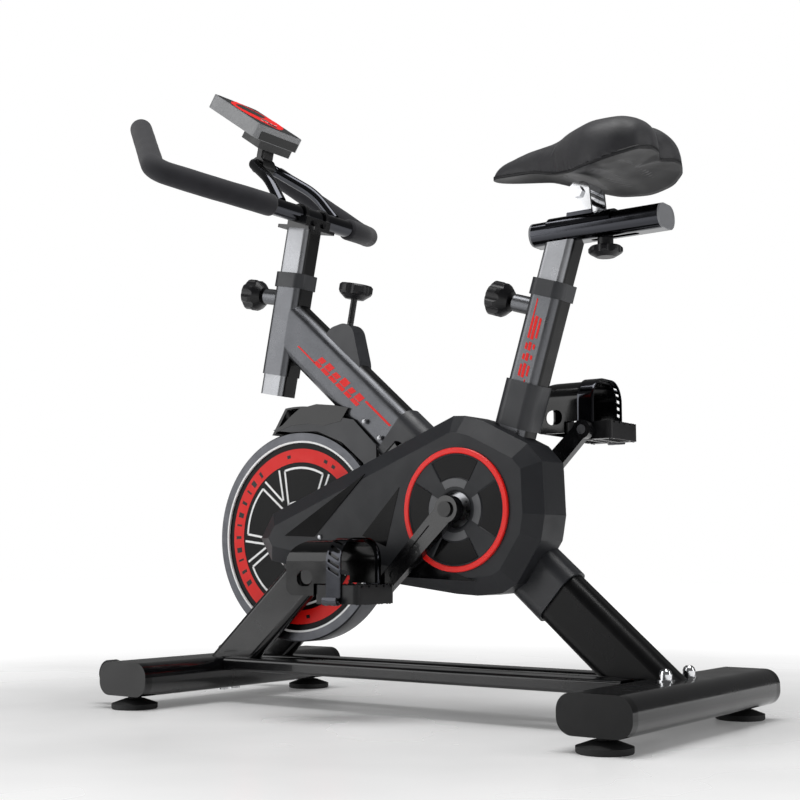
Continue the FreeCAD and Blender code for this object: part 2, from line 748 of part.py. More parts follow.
def pin_place(sleeve):
    """On the sleeve's centre line, with its own Z pointing forwards, square to the sleeve."""
    turn = sleeve.Rotation * Rotation(Vector(0, 1, 0), -90)
    return Placement(along(sleeve, -N["pin_drop"]).Base, turn)


def pin_hole(label, sleeve):
    return rod(label, D["pin_radius"] + D["stud_free"], 90, pin_place(sleeve))


def pin_boss(label, sleeve, deep):
    """A round boss welded to the front of a sleeve."""
    return rod(label, 13, D["pin_boss_long"] + 1, along(pin_place(sleeve), float(deep) / 2 - 1))


def make_bearings():
    """Four ball bearings, drawn as solid rings: two for the crank and two for the flywheel shaft."""
    rings = []
    for side, way in SIDES:
        outline = [(D["bearing_bore"], 0), (D["bearing_outer"], 0),
                   (D["bearing_outer"], D["bearing_thick"]), (D["bearing_bore"], D["bearing_thick"])]
        place = outward(way, BRACKET[0], way * (N["shell_half"] - N["bearing_thick"]), BRACKET[1])
        rings.append(turned(side + "_crank_bearing", outline, place))
        place = outward(way, AXLE[0], way * N["leg_inner"], AXLE[1])
        rings.append(turned(side + "_axle_bearing", outline, place))
    node(gather("bearings", *rings))


def make_collars():
    """Plastic collars that close the tops of both sleeves."""
    collars = []
    for label, sleeve, deep in (("head", HEAD, D["head_deep"]), ("seat", SEAT, D["seat_deep"])):
        wall = D["collar_thick"]
        place = along(sleeve, -N["collar_tall"] + 4)
        outer = bar_of(label + "_collar_outer", deep + 2 * wall, D["sleeve_wide"] + 2 * wall,
                       D["collar_tall"], D["sleeve_round"] + wall, place)
        sleeve_room = bar_of(label + "_collar_room", deep, D["sleeve_wide"], D["collar_tall"] - 4,
                             D["sleeve_round"], place)
        gap = D["tube_wall"] - 0.1
        post_room = bar_of(label + "_collar_post", deep - 2 * gap, D["sleeve_wide"] - 2 * gap,
                           D["collar_tall"], D["sleeve_round"] - gap, place)
        collars.append(cut(label + "_collar", outer, sleeve_room, post_room))
    node(gather("post_collars", *collars))


# ---------------------------------------------------------------- flywheel and drive

def make_flywheel():
    """A heavy disc with a recessed web and a hub, on a shaft that turns in the bearing plates."""
    half, radius = D["flywheel_half"], D["flywheel_radius"]
    bore = D["bearing_bore"] - D["shaft_free"]
    web = half - 3
    outline = [(bore, -24), (30, -24), (34, -web), (radius - 17, -web), (radius - 15, -half),
               (radius - 2, -half), (radius, 2 - half), (radius, half - 2), (radius - 2, half),
               (radius - 15, half), (radius - 17, web), (34, web), (30, 24), (bore, 24)]
    place = across(AXLE[0], 0, AXLE[1])
    node(turned("flywheel", outline, place))
    inner = D["leg_inner"] + D["bearing_thick"]
    pulley_end = D["pulley_inner"] + D["pulley_wide"]
    node(rod("flywheel_axle", bore, inner + pulley_end + 2,
             across(AXLE[0], -float(pulley_end), AXLE[1])))
    node(pulley("axle_pulley", D["axle_pulley_radius"], AXLE, bore, 0))


def pulley(label, radius, centre, bore, holes):
    """A flat pulley with a hub; larger ones are lightened by a ring of holes."""
    wide = D["pulley_wide"]
    outline = [(bore, 0), (radius, 0), (radius, wide), (bore, wide)]
    place = across(centre[0], -N["pulley_inner"] - N["pulley_wide"], centre[1])
    wheel = turned(label if not holes else label + "_disc", outline, place)
    if not holes:
        return wheel
    tools = []
    for number in range(holes):
        angle = 360.0 * number / holes
        x = centre[0] + 60 * cosine(angle)
        z = centre[1] + 60 * sine(angle)
        tools.append(rod("%s_hole_%d" % (label, number), 17, 40, across(x, -N["pulley_inner"] - 25, z)))
    return cut(label, wheel, *tools)


def belt_outline(grow, y):
    """Two arcs and two tangents round both pulleys."""
    big, small = N["crank_pulley_radius"] + grow, N["axle_pulley_radius"] + grow
    span_x, span_z = BRACKET[0] - AXLE[0], BRACKET[1] - AXLE[1]
    span = math.hypot(span_x, span_z)
    slope = math.atan2(span_z, span_x)
    lean = math.acos((small - big) / span)

    def point(centre, radius, angle):
        return Vector(centre[0] + radius * math.cos(angle), y, centre[1] + radius * math.sin(angle))

    upper, lower = slope + lean, slope - lean
    far = point(AXLE, small, slope + math.pi)
    near = point(BRACKET, big, slope)
    edges = [Part.Arc(point(AXLE, small, upper), far, point(AXLE, small, lower)).toShape(),
             Part.LineSegment(point(AXLE, small, lower), point(BRACKET, big, lower)).toShape(),
             Part.Arc(point(BRACKET, big, lower), near, point(BRACKET, big, upper)).toShape(),
             Part.LineSegment(point(BRACKET, big, upper), point(AXLE, small, upper)).toShape()]
    return Part.Face(Part.Wire(edges))


def make_drive():
    bore = D["bearing_bore"] - D["shaft_free"]
    node(pulley("crank_pulley", D["crank_pulley_radius"], BRACKET, bore, 6))
    play = 0.3
    outer_face = -N["pulley_inner"] - N["pulley_wide"] + 0.5
    band = belt_outline(play + N["belt_thick"], outer_face).cut(belt_outline(play, outer_face))
    node(made("drive_belt", band.extrude(Vector(0, N["pulley_wide"] - 1, 0))))


# ---------------------------------------------------------------- cranks and pedals

def crank_point(way):
    """The pedal axis: the left crank points down to the front, the right one up to the rear."""
    x = BRACKET[0] + way * N["crank_length"] * cosine(N["crank_angle"])
    z = BRACKET[1] + way * N["crank_length"] * sine(N["crank_angle"])
    return x, z


def crank_arm(side, way):
    """A forged arm that tapers from the hub to the pedal eye, with a fluted face."""
    inner, thick = N["crank_inner"], D["crank_thick"]
    x, z = crank_point(way)
    hub_place = outward(way, BRACKET[0], way * inner, BRACKET[1])
    eye_place = outward(way, x, way * inner, z)
    hub = rod(side + "_hub", D["crank_hub"], thick + 3, hub_place)
    eye = rod(side + "_eye", D["crank_eye"], thick, eye_place)
    length = D["crank_length"]
    corners = [(0, 3 - D["crank_hub"]), (length, 2 - D["crank_eye"]), (length, D["crank_eye"] - 2),
               (0, D["crank_hub"] - 3)]
    angle = N["crank_angle"] if way > 0 else N["crank_angle"] + 180
    turn = Rotation(Vector(0, 1, 0), -angle)
    y = way * (inner + N["crank_thick"] / 2)
    web = prism(side + "_web", corners, thick, role="XZ_Plane", middle=True,
                place=Placement(Vector(BRACKET[0], y, BRACKET[1]), turn))
    flute = prism(side + "_flute", [(36, -6), (length - 34, -4), (length - 34, 4), (36, 6)], 4,
                  role="XZ_Plane", middle=True, rounds={0: 3.5, 1: 3.5, 2: 3.5, 3: 3.5},
                  place=Placement(Vector(BRACKET[0], way * (inner + N["crank_thick"]), BRACKET[1]), turn))
    whole = fuse(side + "_arm_whole", hub, eye, web)
    shaft_hole = rod(side + "_shaft_hole", D["bearing_bore"] - D["shaft_free"], 40,
                     outward(way, BRACKET[0], way * (inner - 5), BRACKET[1]))
    axle_hole = rod(side + "_axle_hole", D["pedal_axle_radius"], 40, outward(way, x, way * (inner - 5), z))
    return cut("crank_arm_" + side, whole, flute, shaft_hole, axle_hole)


def make_cranks():
    """The spindle, its two arms and the pedal axles that are screwed into them."""
    half = N["crank_inner"] + N["crank_thick"]
    body = rod("spindle_body", D["bearing_bore"] - D["shaft_free"], 2 * half,
               across(BRACKET[0], -half, BRACKET[1]))
    nuts = [rod(side + "_crank_nut", 11, 4, outward(way, BRACKET[0], way * (half + 3), BRACKET[1]))
            for side, way in SIDES]
    plugs = [rod(side + "_crank_plug", 7, 3.5, outward(way, BRACKET[0], way * half, BRACKET[1]))
             for side, way in SIDES]
    node(fuse("crank_spindle", body, *plugs, *nuts))
    axles = []
    for side, way in SIDES:
        node(crank_arm(side, way))
        x, z = crank_point(way)
        long = D["crank_thick"] + D["pedal_gap"] + D["pedal_wide"] - 8
        axles.append(rod(side + "_pedal_axle", D["pedal_axle_radius"], long,
                         outward(way, x, way * N["crank_inner"], z)))
    node(gather("pedal_axles", *axles))


def pedal_start(way):
    return way * (N["crank_inner"] + N["crank_thick"] + N["pedal_gap"])


def make_pedal(side, way):
    """A block pedal with tread ribs, a toe cage at its front and a strap over the foot."""
    x, z = crank_point(way)
    wide, deep, tall = D["pedal_wide"], D["pedal_deep"], D["pedal_tall"]
    middle = pedal_start(way) + way * N["pedal_wide"] / 2
    base = at(x, middle, z)
    slab = prism(side + "_pedal_slab", box_outline(deep, wide), tall, middle=True,
                 rounds={index: 8 for index in range(4)}, place=base)
    windows = [prism("%s_pedal_window_%d" % (side, number), box_outline(deep * 0.24, wide * 0.62), 60,
                     middle=True, rounds={index: 4 for index in range(4)},
                     place=at(x + number * N["pedal_deep"] * 0.29, middle, z)) for number in (-1, 1)]
    bore = rod(side + "_pedal_bore", D["pedal_axle_radius"] + D["shaft_free"], wide - 7,
               outward(way, x, pedal_start(way) - way, z))
    ribs = []
    for number in range(5):
        y = middle + (number - 2) * N["pedal_wide"] * 0.19
        ribs.append(block("%s_rib_gap_%d" % (side, number), deep + 4, 4, 4,
                          at(x - N["pedal_deep"] / 2 - 2, y - 2, z + N["pedal_tall"] / 2 - 3)))
    node(cut("pedal_" + side, slab, bore, *windows, *ribs))
    node(toe_cage(side, x, middle, z))
    node(toe_strap(side, x, middle, z))


def cage_block(label, x, middle, z, grow):
    """A long block with a big round at its front and along its top, as the space for a shoe's toe."""
    front = N["pedal_deep"] / 2 + N["cage_reach"]
    long = D["cage_reach"] + D["pedal_deep"] / 2 + 6 + grow
    corners = [(0, 0), (long, 0), (long, D["cage_tall"] + grow), (0, D["cage_tall"] + grow)]
    side_view = prism(label + "_side", corners, D["pedal_wide"] + 2 * grow, role="XZ_Plane", middle=True,
                      rounds={3: 34 + grow, 0: 14 + grow},
                      place=at(x - front - grow, middle, z - 2))
    end_view = prism(label + "_end", [(-D["pedal_wide"] / 2 - grow, -30), (D["pedal_wide"] / 2 + grow, -30),
                                      (D["pedal_wide"] / 2 + grow, D["cage_tall"] + grow),
                                      (-D["pedal_wide"] / 2 - grow, D["cage_tall"] + grow)],
                     400, role="YZ_Plane", middle=True, rounds={2: 30 + grow, 3: 30 + grow},
                     place=at(x, middle, z - 2))
    return common(label, side_view, end_view)


def toe_cage(side, x, middle, z):
    outer = cage_block(side + "_cage_outer", x, middle, z, 0)
    inner = cage_block(side + "_cage_inner", x, middle, z, -N["cage_wall"])
    front = x - N["pedal_deep"] / 2
    room = block(side + "_cage_room", 300, 300, 60, at(front - 1, middle - 150, z - 58 + N["pedal_tall"] / 2))
    window = prism(side + "_cage_window", box_outline(30, 34), 300, role="YZ_Plane",
                   rounds={index: 12 for index in range(4)}, place=at(front - 200, middle, z + 30))
    side_hole = prism(side + "_cage_side_hole", box_outline(28, 22), 300, role="XZ_Plane", middle=True,
                      rounds={index: 10 for index in range(4)}, place=at(front - 18, middle, z + 22))
    rear = block(side + "_cage_rear", 60, 300, 300, at(x + 4, middle - 150, z - 20))
    return cut("toe_cage_" + side, outer, inner, room, window, side_hole, rear)


def toe_strap(side, x, middle, z):
    """A flat band that runs over the cage and down both sides of the pedal."""
    gap = N["strap_thick"] + 0.4
    wide = D["pedal_wide"] / 2
    top = D["cage_tall"] + 1
    lift = D["strap_thick"]
    outer = prism(side + "_strap_outer", [(-wide - gap, 11), (wide + gap, 11), (wide + gap, top + lift),
                                          (-wide - gap, top + lift)], D["strap_wide"], role="YZ_Plane",
                  middle=True, rounds={2: 28, 3: 28}, place=at(x - 2, middle, z - 2))
    inner = prism(side + "_strap_inner", [(-wide - 0.4, -16), (wide + 0.4, -16), (wide + 0.4, top),
                                          (-wide - 0.4, top)], D["strap_wide"] + 2, role="YZ_Plane",
                  middle=True, rounds={2: 26, 3: 26}, place=at(x - 2, middle, z - 2))
    return cut("toe_strap_" + side, outer, inner)


# ---------------------------------------------------------------- belt cover

COVER_OUTLINE = [(-283, 257), (-258, 296), (84, 429), (104, 428), (131, 420), (206, 383), (229, 358),
                 (232, 285), (226, 250), (187, 191), (163, 178), (123, 174), (88, 176), (-17, 189),
                 (-215, 214), (-260, 222)]
COVER_SPLIT = -45.0


def inset(points, distance):
    """Move each side of a clockwise outline inwards and find the new corners."""
    lines = []
    for index, start in enumerate(points):
        end = points[(index + 1) % len(points)]
        long = math.hypot(end[0] - start[0], end[1] - start[1])
        way = ((end[0] - start[0]) / long, (end[1] - start[1]) / long)
        lines.append(((start[0] + way[1] * distance, start[1] - way[0] * distance), way))
    corners = []
    for index, (start, way) in enumerate(lines):
        before, before_way = lines[index - 1]
        reach = meet(before, before_way, start, way)
        corners.append((before[0] + before_way[0] * reach, before[1] + before_way[1] * reach))
    return corners


def rear_part(points):
    """The part of an outline behind the split line, where the cover wraps round the frame."""
    kept = []
    for index, start in enumerate(points):
        end = points[(index + 1) % len(points)]
        if start[0] >= COVER_SPLIT:
            kept.append(start)
        if (start[0] - COVER_SPLIT) * (end[0] - COVER_SPLIT) < 0:
            share = (COVER_SPLIT - start[0]) / (end[0] - start[0])
            kept.append((COVER_SPLIT, start[1] + share * (end[1] - start[1])))
    return kept


def wire_at(points, y):
    corners = [Vector(x, y, z) for x, z in points]
    return Part.makePolygon(corners + corners[:1])


def layer(points, y, far_points, far_y):
    return Part.makeLoft([wire_at(points, y), wire_at(far_points, far_y)], True, True)


def slab(points, y, far_y):
    return Part.Face(wire_at(points, y)).extrude(Vector(0, far_y - y, 0))


def cover_room():
    """The frame tubes that the cover closes round."""
    rooms = [backbone_bar("cover_backbone", 0.3), seat_bar("cover_seat", 0.3),
             shell_rod("cover_shell", D["shell_radius"] + 0.3, D["shell_half"] + 60),
             bridge_rod("cover_bridge", 0.3)]
    rooms += [leg_bar(side + "_cover_leg", way, 0.3) for side, way in SIDES]
    return rooms


def make_covers(rooms):
    wall, bevel = N["cover_wall"], N["cover_bevel"]
    face, edge, right = -N["cover_face"], -N["cover_edge"], N["cover_right"]
    outline, flat = COVER_OUTLINE, inset(COVER_OUTLINE, bevel)
    thin, thin_flat = inset(outline, wall), inset(outline, bevel + 1)
    rear, rear_thin = rear_part(outline), inset(rear_part(outline), wall)
    rear_flat = inset(rear, bevel)
    outer = layer(outline, edge, flat, face).fuse(slab(rear, edge, 0))
    inner = layer(thin, edge, thin_flat, face + wall).fuse(slab(rear_thin, edge - 0.01, 0))
    left = made("left_cover_whole", outer.cut(inner))
    outer = slab(rear, 0, 8).fuse(layer(rear, 8, rear_flat, right))
    inner = slab(rear_thin, 0, 8).fuse(layer(rear_thin, 8, inset(rear, bevel + 1), right - wall))
    right_shell = made("right_cover_whole", outer.cut(inner))
    room = fuse("cover_rooms", *rooms)
    hub = shell_rod("cover_hub", D["crank_hub"] + 6, 100)
    node(cut("left_belt_cover", left, room, hub))
    node(cut("right_belt_cover", right_shell, room))


def make_trim():
    """A trim disc with four windows round the crank, and the ring outside it."""
    face, centre = -N["cover_face"], BRACKET
    ring_inner = D["ring_outer"] - D["ring_wide"]
    outline = [(ring_inner, 0), (D["ring_outer"], 0), (D["ring_outer"], D["ring_out"] - 1),
               (D["ring_outer"] - 1, D["ring_out"]), (ring_inner + 1, D["ring_out"]),
               (ring_inner, D["ring_out"] - 1)]
    place = outward(-1, centre[0], face, centre[1])
    node(turned("cover_ring", outline, place))
    outline = [(D["crank_hub"] + 7, 0), (ring_inner, 0), (ring_inner, D["disc_out"]),
               (D["crank_hub"] + 7, D["disc_out"])]
    disc = turned("disc_whole", outline, place)
    band = turned("window_band", [(35, 1), (73, 1), (73, 6), (35, 6)], place)
    bars = []
    for number in range(2):
        turn = Rotation(Vector(0, 1, 0), 45 + 90 * number)
        y = face - 3.0
        bars.append(prism("window_bar_%d" % number, [(-90, -13), (90, -13), (90, 13), (-90, 13)], 12,
                          role="XZ_Plane", middle=True,
                          place=Placement(Vector(centre[0], y, centre[1]), turn)))
    node(cut("cover_disc", disc, cut("window_cutters", band, *bars)))


def make_cover_collars(rooms_of_cover):
    """Collars where the seat sleeve, the backbone and the rear leg leave the cover."""
    pieces = []
    place, length = backbone_length()
    thick = 4
    for label, distance, long in (("front", 522, 56), ("rear", 208, 60)):
        outer = bar_of(label + "_collar_outer", D["backbone_deep"] + 2 * thick,
                       D["backbone_wide"] + 2 * thick, long, D["oval_round"] + thick,
                       along(place, distance))
        pieces.append(outer)
    seat_length = seat_sleeve_length()
    outer = bar_of("shroud_outer", D["seat_deep"] + 2 * thick, D["sleeve_wide"] + 2 * thick, 66,
                   D["sleeve_round"] + thick, along(SEAT, -seat_length + 148))
    pieces.append(outer)
    solid_cover = made("cover_solid", layer(COVER_OUTLINE, -N["cover_edge"], inset(COVER_OUTLINE, 25),
                                            -N["cover_face"])
                       .fuse(slab(rear_part(COVER_OUTLINE), -N["cover_edge"], 8))
                       .fuse(layer(rear_part(COVER_OUTLINE), 8, inset(rear_part(COVER_OUTLINE), 25),
                                   N["cover_right"])))
    node(cut("cover_collars", gather("collar_solids", *pieces), solid_cover, *rooms_of_cover))


def make_screws():
    """Countersunk and pan-head screws of the cover and the flywheel guard."""
    places = [(-149, -float(D["cover_face"]), 258, -1), (-97, -27, 434, -1), (-68, -27, 407, -1),
              (-97, 27, 434, 1), (-68, 27, 407, 1)]
    screws = [turned("screw_%d" % number, [(0, 0), (4, 0), (4, 1.5), (2.5, 2.5), (0, 2.8)],
                     outward(side, x, y, z)) for number, (x, y, z, side) in enumerate(places)]
    node(gather("cover_screws", *screws))


# ---------------------------------------------------------------- flywheel guard and brake

def arc_wire(radius, start, end, y):
    middle = (start + end) / 2
    points = [Vector(AXLE[0] + radius * cosine(angle), y, AXLE[1] + radius * sine(angle))
              for angle in (start, middle, end)]
    return points


def make_guard():
    """A curved roof over the top of the flywheel, with a plate on each side of it."""
    inner, outer = N["flywheel_radius"] + 5, N["flywheel_radius"] + 8
    half = N["leg_inner"] - 4
    first, last = 108, 52
    low = arc_wire(inner, first, last, -half)
    high = arc_wire(outer + 32, 97, 60, -half)
    roof_low = Part.Arc(*low).toShape()
    roof = Part.makePolygon([low[2], high[2]])
    crest = Part.Arc(high[2], high[1], high[0]).toShape()
    close = Part.makePolygon([high[0], low[0]])
    face = Part.Face(Part.Wire([roof_low] + roof.Edges + [crest] + close.Edges))
    solid = face.extrude(Vector(0, 2 * half, 0))
    gap = 3
    low = arc_wire(inner - 4, first - 1, last + 2, -half)
    high = arc_wire(outer + 32 - gap, 96, 60, -half)
    hollow_face = Part.Face(Part.Wire([Part.Arc(*low).toShape()]
                                      + Part.makePolygon([low[2], high[2]]).Edges
                                      + [Part.Arc(high[2], high[1], high[0]).toShape()]
                                      + Part.makePolygon([high[0], low[0]]).Edges))
    hollow = hollow_face.extrude(Vector(0, 2 * half, 0))
    shell = made("guard_shell", solid.cut(hollow))
    room = [brake_bore("guard_brake", D["brake_rod_radius"] + 2), backbone_bar("guard_backbone", 0.3)]
    node(cut("flywheel_guard", shell, *room))
    plates = []
    for side, way in SIDES:
        outline = [(-282, 430), (-240, 446), (-190, 452), (-118, 438), (-74, 396), (-72, 330), (-100, 372),
                   (-140, 404), (-190, 424), (-250, 426)]
        plates.append(prism(side + "_guard_plate", outline, 3, role="XZ_Plane", middle=True,
                            place=at(0, way * (half + 1.5), 0)))
    cutters = [backbone_bar("plate_backbone", 4.3)]
    node(cut("guard_side_plates", gather("plate_pair", *plates), *cutters))


def make_brake():
    """A spring-loaded rod through the backbone, with a pad below and a lobed knob on top."""
    housing_half = 15
    outline = [(-200, 541), (-178, 588), (-133, 597), (-116, 530), (-112, 470)]
    housing = prism("housing_whole", outline, 2 * housing_half, role="XZ_Plane", middle=True,
                    rounds={1: 22, 2: 24, 3: 24})
    node(cut("brake_housing", housing, backbone_bar("housing_backbone", 0),
             brake_bore("housing_bore", D["brake_rod_radius"] + 0.3)))
    pad_place = brake_place(N["brake_gap"])
    long = rim_distance((N["brake_x"], N["brake_z"]), (sine(N["brake_lean"]), cosine(N["brake_lean"])))
    stem = rod("brake_stem", D["brake_rod_radius"], long + 40 - N["brake_gap"] - 18,
               along(pad_place, 18))
    pad = bar_of("pad_block", 40, 30, 18.5, 4, pad_place)
    rim = rod("pad_rim", D["flywheel_radius"] + D["brake_gap"], 80, across(AXLE[0], -40, AXLE[1]))
    node(fuse("brake_rod", stem, cut("brake_pad_shape", pad, rim)))
    node(lobed_knob("brake_knob", along(pad_place, long + 40 - N["brake_gap"]), N["brake_knob_radius"], 5,
                    24))


def lobed_knob(label, place, radius, lobes, tall):
    """A star knob: a disc with finger hollows cut round its edge, on a short neck."""
    disc = turned(label + "_disc", [(0, 0), (radius * 0.55, 0), (radius - 2, tall * 0.35), (radius, tall * 0.5),
                                    (radius, tall - 3), (radius - 3, tall), (0, tall)], place)
    hollows = []
    for number in range(lobes):
        angle = 360.0 * number / lobes
        reach = radius * 1.22
        spot = place.multiply(Placement(Vector(reach * cosine(angle), reach * sine(angle), -1), Rotation()))
        hollows.append(rod("%s_hollow_%d" % (label, number), radius * 0.36, tall + 2, spot))
    return cut(label, disc, *hollows)


# ---------------------------------------------------------------- posts, seat and saddle

def post_bar(label, sleeve, deep, start, length, grow):
    gap = D["tube_wall"] + D["post_free"]
    return bar_of(label, deep - 2 * gap + 2 * grow, D["sleeve_wide"] - 2 * gap + 2 * grow, length,
                  D["sleeve_round"] - gap + grow, along(sleeve, start))


def height_holes(label, sleeve, up, down):
    """Holes for the pop pin in the post's front wall, one pitch apart."""
    holes = []
    for number in range(-down, up + 1):
        base = pin_place(sleeve)
        step = sleeve.Rotation.multVec(Vector(0, 0, number * N["hole_pitch"]))
        place = Placement(base.Base + step, base.Rotation)
        holes.append(rod("%s_hole_%d" % (label, number + down), D["pin_radius"] + 0.6, 60, place))
    return holes


def make_seat_post():
    """The post inside the seat sleeve, with the fore-and-aft rail welded across its top."""
    above = (RAIL_Z - N["seat_z"]) / SEAT_WAY[1]
    length = N["seat_post_in"] + above + 30
    outer = post_bar("seat_post_outer", SEAT, D["seat_deep"], -N["seat_post_in"], length, 0)
    inner = post_bar("seat_post_inner", SEAT, D["seat_deep"], -N["seat_post_in"], length,
                     -1 * D["tube_wall"])
    rail = rail_bar("seat_post_rail", 0, 0)
    sky = block("seat_post_sky", 400, 200, 100, at(100, -100, RAIL_Z + 2))
    holes = height_holes("seat_post", SEAT, 1, 4)
    node(cut("seat_post", outer, inner, rail, sky, *holes))


def rail_bar(label, grow, extra):
    place = Placement(Vector(N["rail_x"] - extra, 0, RAIL_Z + N["rail_tall"] / 2),
                      Rotation(Vector(0, 1, 0), 90))
    return bar_of(label, D["rail_tall"] + 2 * grow, D["rail_wide"] + 2 * grow,
                  D["rail_length"] + 2 * extra, D["rail_round"] + grow, place)


def make_seat_rail():
    slot = prism("rail_slot", box_outline(2 * D["slider_travel"] + 12, 11), 300, middle=True,
                 rounds={index: 5 for index in range(4)},
                 place=at(N["clamp_x"] + N["slider_rest"], 0, RAIL_Z))
    node(cut("seat_rail", rail_bar("rail_outer", 0, 0), rail_bar("rail_inner", -1 * D["tube_wall"], 1), slot))
    plugs = []
    for number, x in enumerate((N["rail_x"], N["rail_x"] + N["rail_length"])):
        way = -1 if number == 0 else 1
        turn = Rotation(Vector(0, 1, 0), 90 * way)
        place = Placement(Vector(x, 0, RAIL_Z + N["rail_tall"] / 2), turn)
        wall = D["tube_wall"]
        lid = bar_of("plug_lid_%d" % number, D["rail_tall"], D["rail_wide"], 3, D["rail_round"], place)
        core = bar_of("plug_core_%d" % number, D["rail_tall"] - 2 * wall, D["rail_wide"] - 2 * wall, 10,
                      D["rail_round"] - wall, along(place, -10))
        plugs.append(fuse("rail_plug_%d" % number, lid, core))
    node(gather("rail_end_plugs", *plugs))


def make_slider():
    """A channel that hugs the rail's top, with two cheeks that hold the saddle's tilt bolt."""
    free, wall = D["slider_free"], D["slider_wall"]
    start = N["slider_x"] - N["rail_x"]
    place = Placement(Vector(N["slider_x"], 0, RAIL_Z + N["rail_tall"] / 2),
                      Rotation(Vector(0, 1, 0), 90))
    outer = bar_of("slider_outer", D["rail_tall"] + 2 * (free + wall), D["rail_wide"] + 2 * (free + wall),
                   D["slider_length"], D["rail_round"] + free + wall, place)
    room = rail_bar("slider_room", free, 5)
    below = block("slider_below", 400, 200, 100, at(100, -100, RAIL_Z + N["rail_tall"] * 0.62 - 100))
    top = RAIL_Z + N["rail_tall"] + N["slider_free"] + N["slider_wall"]
    cheeks = []
    for number, way in enumerate((-1, 1)):
        corners = [(N["tilt_x"] - 20, top - 4.5), (N["tilt_x"] + 20, top - 4.5), (N["tilt_x"] + 16, TILT_Z + 8),
                   (N["tilt_x"] + 8, TILT_Z + 15), (N["tilt_x"] - 8, TILT_Z + 15),
                   (N["tilt_x"] - 16, TILT_Z + 8)]
        cheeks.append(prism("cheek_%d" % number, corners, 4, role="XZ_Plane", middle=True,
                            place=at(0, way * 22, 0)))
    bolt = rod("tilt_bolt", 5, 56, across(N["tilt_x"], -28, TILT_Z))
    nuts = [prism("tilt_nut_%d" % number, hexagon(8.5), 5, place=outward(way, N["tilt_x"], way * 24,
                                                                         TILT_Z))
            for number, way in enumerate((-1, 1))]
    channel = cut("slider_channel", outer, room, below)
    whole = fuse("slider_whole", channel, bolt, *cheeks, *nuts)
    stem_hole = rod("slider_stem_hole", 4, 60, at(N["clamp_x"], 0, RAIL_Z + 20))
    node(cut("saddle_slider", whole, stem_hole))
    place = at(N["clamp_x"], 0, RAIL_Z - N["clamp_drop"])
    turned_knob = lobed_knob("clamp_knob_head", place, 24.0, 8, N["clamp_knob_tall"])
    neck = N["clamp_drop"] - N["clamp_knob_tall"] - 0.4
    flange = rod("clamp_flange", 11, neck, along(place, N["clamp_knob_tall"]))
    stem = rod("clamp_stem", 3.95, N["clamp_drop"] + N["rail_tall"] + 4, along(place, 0.5))
    node(fuse("saddle_clamp_knob", turned_knob, flange, stem))


def hexagon(radius):
    return [(radius * cosine(angle), radius * sine(angle)) for angle in range(0, 360, 60)]


def saddle_shape():
    """The plan outline and the side outline of the saddle, crossed with each other."""
    nose, long, half = N["saddle_nose"], N["saddle_length"], N["saddle_half"]
    low, tall = SADDLE_LOW, N["saddle_tall"]
    plan = [(0.0, 0.17), (0.12, 0.22), (0.3, 0.3), (0.45, 0.48), (0.6, 0.82), (0.76, 1.0), (0.92, 0.88),
            (1.0, 0.5), (0.97, 0.1)]
    side = [(0.0, 0.48), (0.03, 0.66), (0.2, 0.78), (0.42, 0.84), (0.55, 0.97), (0.72, 1.0), (0.88, 0.98),
            (1.0, 0.8), (1.0, 0.5), (0.85, 0.2), (0.68, 0.0), (0.5, 0.1), (0.3, 0.34), (0.03, 0.4)]
    right = [Vector(nose + long * share, half * width, 0) for share, width in plan]
    left = [Vector(point.x, -point.y, 0) for point in reversed(right)]
    top = Part.Face(Part.makePolygon(right + left + right[:1])).extrude(Vector(0, 0, 200))
    top.translate(Vector(0, 0, low - 50))
    points = [Vector(nose + long * share, -200, low + tall * rise) for share, rise in side]
    profile = Part.Face(Part.makePolygon(points + points[:1])).extrude(Vector(0, 400, 0))
    return top.common(profile)


def make_saddle():
    """The saddle, and the clamp under it that turns on the tilt bolt."""
    x, z = N["tilt_x"], TILT_Z
    hub = rod("clamp_hub", 10, 39, across(x, -19.5, z))
    stalk = block("clamp_stalk", 24, 39, 12, at(x - 12, -19.5, z + 5))
    whole = fuse("saddle_clamp_whole", hub, stalk)
    bolt = rod("clamp_bore", 5.06, 60, across(x, -30, z))
    saddle = made("saddle_whole", saddle_shape())
    room = block("saddle_room", 70, 60, 60, at(x - 35, -30, z - 43))
    node(cut("saddle_clamp", whole, bolt, saddle))
    node(cut("saddle", saddle, room))


def make_pins():
    """Pop pins: a lobed knob in front of each sleeve's boss, with a pin that enters a height hole."""
    for label, sleeve, deep in (("bar_pin", HEAD, D["head_deep"]), ("seat_pin", SEAT, D["seat_deep"])):
        base = pin_place(sleeve)
        face = float(deep) / 2
        post_face = face - N["tube_wall"] - N["post_free"]
        knob_start = face + N["pin_boss_long"] + N["pin_standoff"]
        stem = rod(label + "_stem", D["pin_radius"], knob_start + 3 - post_face - 0.4,
                   along(base, post_face + 0.4))
        knob = lobed_knob(label + "_knob", along(base, knob_start), N["pin_knob_radius"], 8,
                          N["pin_knob_long"])
        node(fuse(label, stem, knob))


# ---------------------------------------------------------------- handlebar and console

def bar_points(side):
    """Corners of half of the handlebar: crossbar, elbow, and the horn that leans forwards and in."""
    x, z = N["bar_x"], BAR_Z
    return [Vector(x, side * 132, z), Vector(x - 34, side * 200, z + 12), Vector(x - 90, side * 262, z + 34),
            Vector(x - 222, side * 168, z + 147)]


